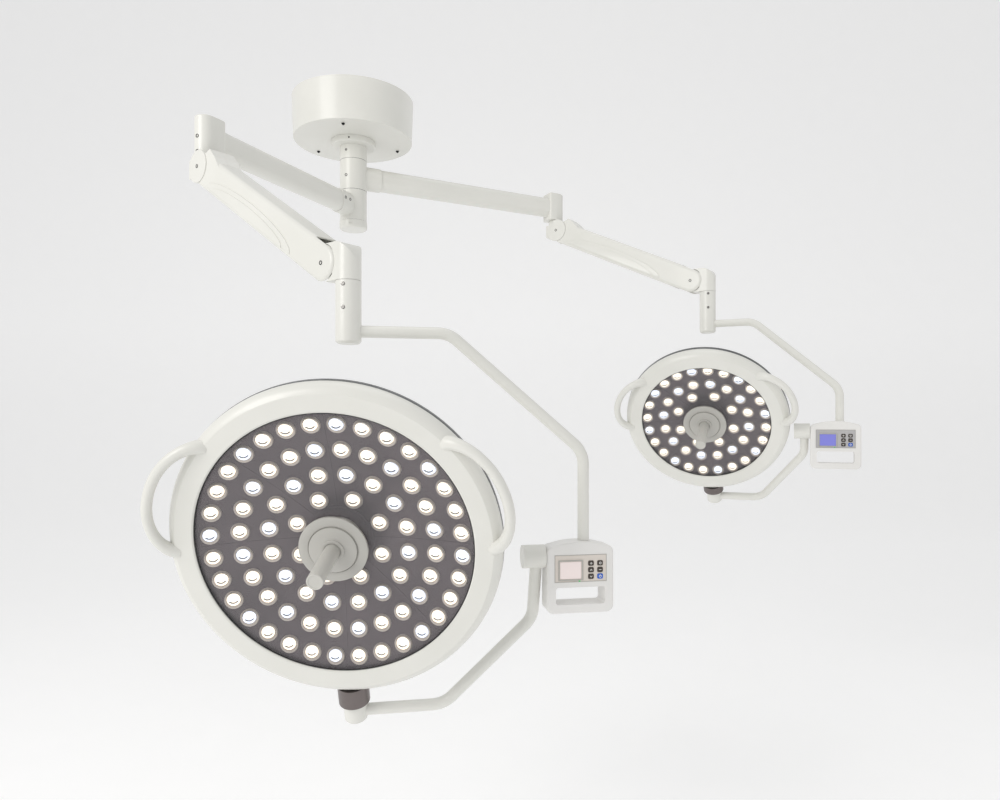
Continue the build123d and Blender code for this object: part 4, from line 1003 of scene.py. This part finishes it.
def cross_head():
    """A pan head with a cross sunk into its top."""
    bpy.ops.object.select_all(action="DESELECT")
    bpy.ops.mesh.primitive_cylinder_add(vertices=24, radius=CROSS_RADIUS, depth=CROSS_HEIGHT)
    screw = bpy.context.object
    round_edges(screw, 0.0008)
    bpy.ops.object.select_all(action="DESELECT")
    cutters = []
    for turn in (0, 90):
        bpy.ops.mesh.primitive_cube_add(
            size=1, location=(0, 0, 0.0012), rotation=(0, 0, radians(turn))
        )
        cutter = bpy.context.object
        bpy.ops.transform.resize(value=CROSS_CUT, orient_type="LOCAL")
        cutters.append(cutter)
    for cutter in cutters:
        pick(screw)
        cut = screw.modifiers.new("cross", "BOOLEAN")
        cut.operation = "DIFFERENCE"
        cut.object = cutter
        bpy.ops.object.modifier_apply(modifier=cut.name)
        bpy.data.objects.remove(cutter)
    return screw


def socket_head():
    """A low black socket screw: a disc with an inset, sunk round socket."""
    bpy.ops.object.select_all(action="DESELECT")
    bpy.ops.mesh.primitive_cylinder_add(vertices=16, radius=SOCKET_HEAD_RADIUS, depth=0.0018)
    screw = bpy.context.object
    select_faces(screw, facing_up)
    bpy.ops.mesh.inset(thickness=0.0014)
    raise_faces(-0.0012)
    return done()


cross_master = cross_head()
socket_master = socket_head()


def bright_screws(name, body, seats):
    """Stamps a cross-headed screw at each (point, outward direction) pair."""
    places = [facing(point, outward) for point, outward in seats]
    return settle(stamp(cross_master, places), name, body, screw_bright)


def dark_screws(name, body, seats):
    """Stamps a socket-headed screw at each (point, outward direction) pair."""
    places = [facing(point, outward) for point, outward in seats]
    return settle(stamp(socket_master, places), name, body, screw_black)


def round_the_tube(axis, outward, radius, heights):
    """Seats on the side of an upright tube, one at each height above its axis point."""
    return [(axis + outward * radius + Vector((0, 0, z)), outward) for z in heights]


# %% Screws of the socket tubes, elbows, roots and spring arms
SOCKET_RADIUS = 0.0275
ELBOW_RADIUS = 0.028
socket_front = Vector((-0.22, -0.975, 0)).normalized()
elbow_front = Vector((-0.42, -0.91, 0)).normalized()
for lamp in LAMPS:
    socket = Vector(joints[f"{lamp}_yoke_turn"]["pos_m"])
    pair = round_the_tube(socket, socket_front, SOCKET_RADIUS, (-0.010, -0.059))
    bright_screws(f"{lamp}_socket_screws", f"{lamp}_yoke", pair)
    elbow = Vector(joints[f"{lamp}_elbow_turn"]["pos_m"])
    pair = round_the_tube(elbow, elbow_front, ELBOW_RADIUS, (-0.002, -0.042))
    dark_screws(f"{lamp}_elbow_screws", f"{lamp}_arm", pair)
    across = arm[lamp].to_3x3() @ Vector((0, 1, 0))
    root_low, root_high = extents(f"{lamp}_spring_root", arm[lamp])
    root = arm[lamp].translation
    pins = [(root + across * root_low.y, -across), (root + across * root_high.y, across)]
    dark_screws(f"{lamp}_root_pin_heads", f"{lamp}_swing", pins)
    tip = root + arm[lamp].to_3x3() @ Vector((ARM_LENGTH, 0, 0))
    pins = [(tip + across * side * ARM_HALF_WIDTH, across * side) for side in (-1, 1)]
    dark_screws(f"{lamp}_knuckle_pin_heads", f"{lamp}_spring_arm", pins)

# %% Screws of the column and the hubs
COLUMN_SCREW_Z = -0.182
CLAMP_HALF_WIDTH = 0.029
column_front = Vector((-0.35, -0.937, 0)).normalized()
column_seat = round_the_tube(Vector(), column_front, COLUMN_RADIUS, (COLUMN_SCREW_Z,))
bright_screws("column_screw", "mount", column_seat)

large_elbow = Vector(joints["large_elbow_turn"]["pos_m"])
along = Vector((large_elbow.x, large_elbow.y, 0)).normalized()
beside = Vector((-along.y, along.x, 0))
large_seats = [
    (Vector((0, 0, large_elbow.z + 0.008)) + along * reach + beside * CLAMP_HALF_WIDTH, beside)
    for reach in (0.060, 0.086)
]
dark_screws("large_hub_screws", "large_arm", large_seats)
small_hub_z = joints["small_elbow_turn"]["pos_m"][2]
small_seats = round_the_tube(Vector(), column_front, COLUMN_RADIUS, (small_hub_z - 0.006,))
dark_screws("small_hub_screws", "small_arm", small_seats)
bpy.data.objects.remove(cross_master)
bpy.data.objects.remove(socket_master)

# %% [markdown]
# ## Control boxes
# The front of each box carries a film panel with a display, six keys and a green signal. The
# panel and the display each have a thin raised frame. The keys wear generic marks: plus, up and
# down on the left, sun, bar and standby on the right. Marks ride on their own keys, so they move
# when a key is pressed.

# %% Thin frames
def thin_frame(low, high, width, rise, front):
    """A rectangular frame in the panel's XZ plane that stands forward by rise."""
    bpy.ops.object.select_all(action="DESELECT")
    bpy.ops.mesh.primitive_cube_add(size=1)
    border = bpy.context.object
    bpy.ops.transform.resize(value=(high.x - low.x, rise, high.z - low.z))
    bpy.ops.object.transform_apply(location=True, rotation=True, scale=True)
    select_faces(border, lambda face: abs(face.normal.y) > 0.9)
    bpy.ops.mesh.inset(thickness=width)
    bpy.ops.mesh.bridge_edge_loops()
    done()
    round_edges(border, min(width, rise) * 0.3)
    border.location = ((low.x + high.x) / 2, front - rise / 2, (low.z + high.z) / 2)
    return border


for lamp in LAMPS:
    body = f"{lamp}_yoke"
    low, high = extents(f"{lamp}_control_face", panel[lamp])
    rim = thin_frame(low, high, 0.0011, 0.0007, 0.0)
    settle(rim, f"{lamp}_panel_rim", body, boss_grey, panel[lamp])
    low, high = extents(f"{lamp}_display", panel[lamp])
    margin = Vector((0.0022, 0, 0.0022))
    rim = thin_frame(low - margin, high + margin, 0.0026, 0.0011, min(low.y, 0.0))
    settle(rim, f"{lamp}_display_rim", body, boss_grey, panel[lamp])

# %% Green signal beside the display
for lamp in LAMPS:
    low, high = extents(f"{lamp}_display", panel[lamp])
    bpy.ops.object.select_all(action="DESELECT")
    bpy.ops.mesh.primitive_uv_sphere_add(segments=16, ring_count=8, radius=0.0021)
    signal = bpy.context.object
    bpy.ops.transform.resize(value=(1, 0.6, 1))
    signal.location = (high.x - 0.006, -0.0004, low.z - 0.0034)
    settle(signal, f"{lamp}_signal", f"{lamp}_yoke", signal_green, panel[lamp])


# %% Marks on the keys
MARK_RISE = 0.0005
MARK_LINE = 0.0013


def bar(width, height, x=0.0, z=0.0, turn=0.0):
    """A bar of a mark, with rounded ends."""
    bpy.ops.object.select_all(action="DESELECT")
    bpy.ops.mesh.primitive_cube_add(size=1)
    mark = bpy.context.object
    bpy.ops.transform.resize(value=(width, MARK_RISE, height))
    bpy.ops.object.transform_apply(location=True, rotation=True, scale=True)
    round_edges(mark, min(width, height) * 0.3)
    mark.matrix_world = Matrix.Translation((x, 0, z)) @ Matrix.Rotation(radians(turn), 4, "Y")
    return mark


def ring(radius):
    """A round mark."""
    bpy.ops.object.select_all(action="DESELECT")
    bpy.ops.mesh.primitive_torus_add(
        major_segments=28,
        minor_segments=8,
        major_radius=radius,
        minor_radius=MARK_LINE / 2,
        rotation=(radians(90), 0, 0),
    )
    mark = bpy.context.object
    bpy.ops.transform.resize(value=(1, 0.4, 1))
    return mark


def key_mark(number):
    """The mark of one key, as a list of parts about the key's centre."""
    if number == 1:
        return [bar(0.0056, MARK_LINE), bar(MARK_LINE, 0.0056)]
    if number == 2:
        return [bar(MARK_LINE, 0.0044, -0.0011, 0, 38), bar(MARK_LINE, 0.0044, 0.0011, 0, -38)]
    if number == 3:
        return [bar(MARK_LINE, 0.0044, -0.0011, 0, -38), bar(MARK_LINE, 0.0044, 0.0011, 0, 38)]
    if number == 4:
        return [ring(0.0022)]
    if number == 5:
        return [bar(0.0056, MARK_LINE)]
    return [ring(0.0026), bar(MARK_LINE, 0.0030, 0, 0.0022)]


for lamp in LAMPS:
    for number in range(1, 7):
        low, high = extents(f"{lamp}_key_{number}", panel[lamp])
        mark = join(key_mark(number))
        seat = Vector(((low.x + high.x) / 2, low.y - MARK_RISE * 0.3, (low.z + high.z) / 2))
        settle(
            mark,
            f"{lamp}_key_mark_{number}",
            f"{lamp}_key_{number}_body",
            mark_pale,
            panel[lamp] @ Matrix.Translation(seat),
        )
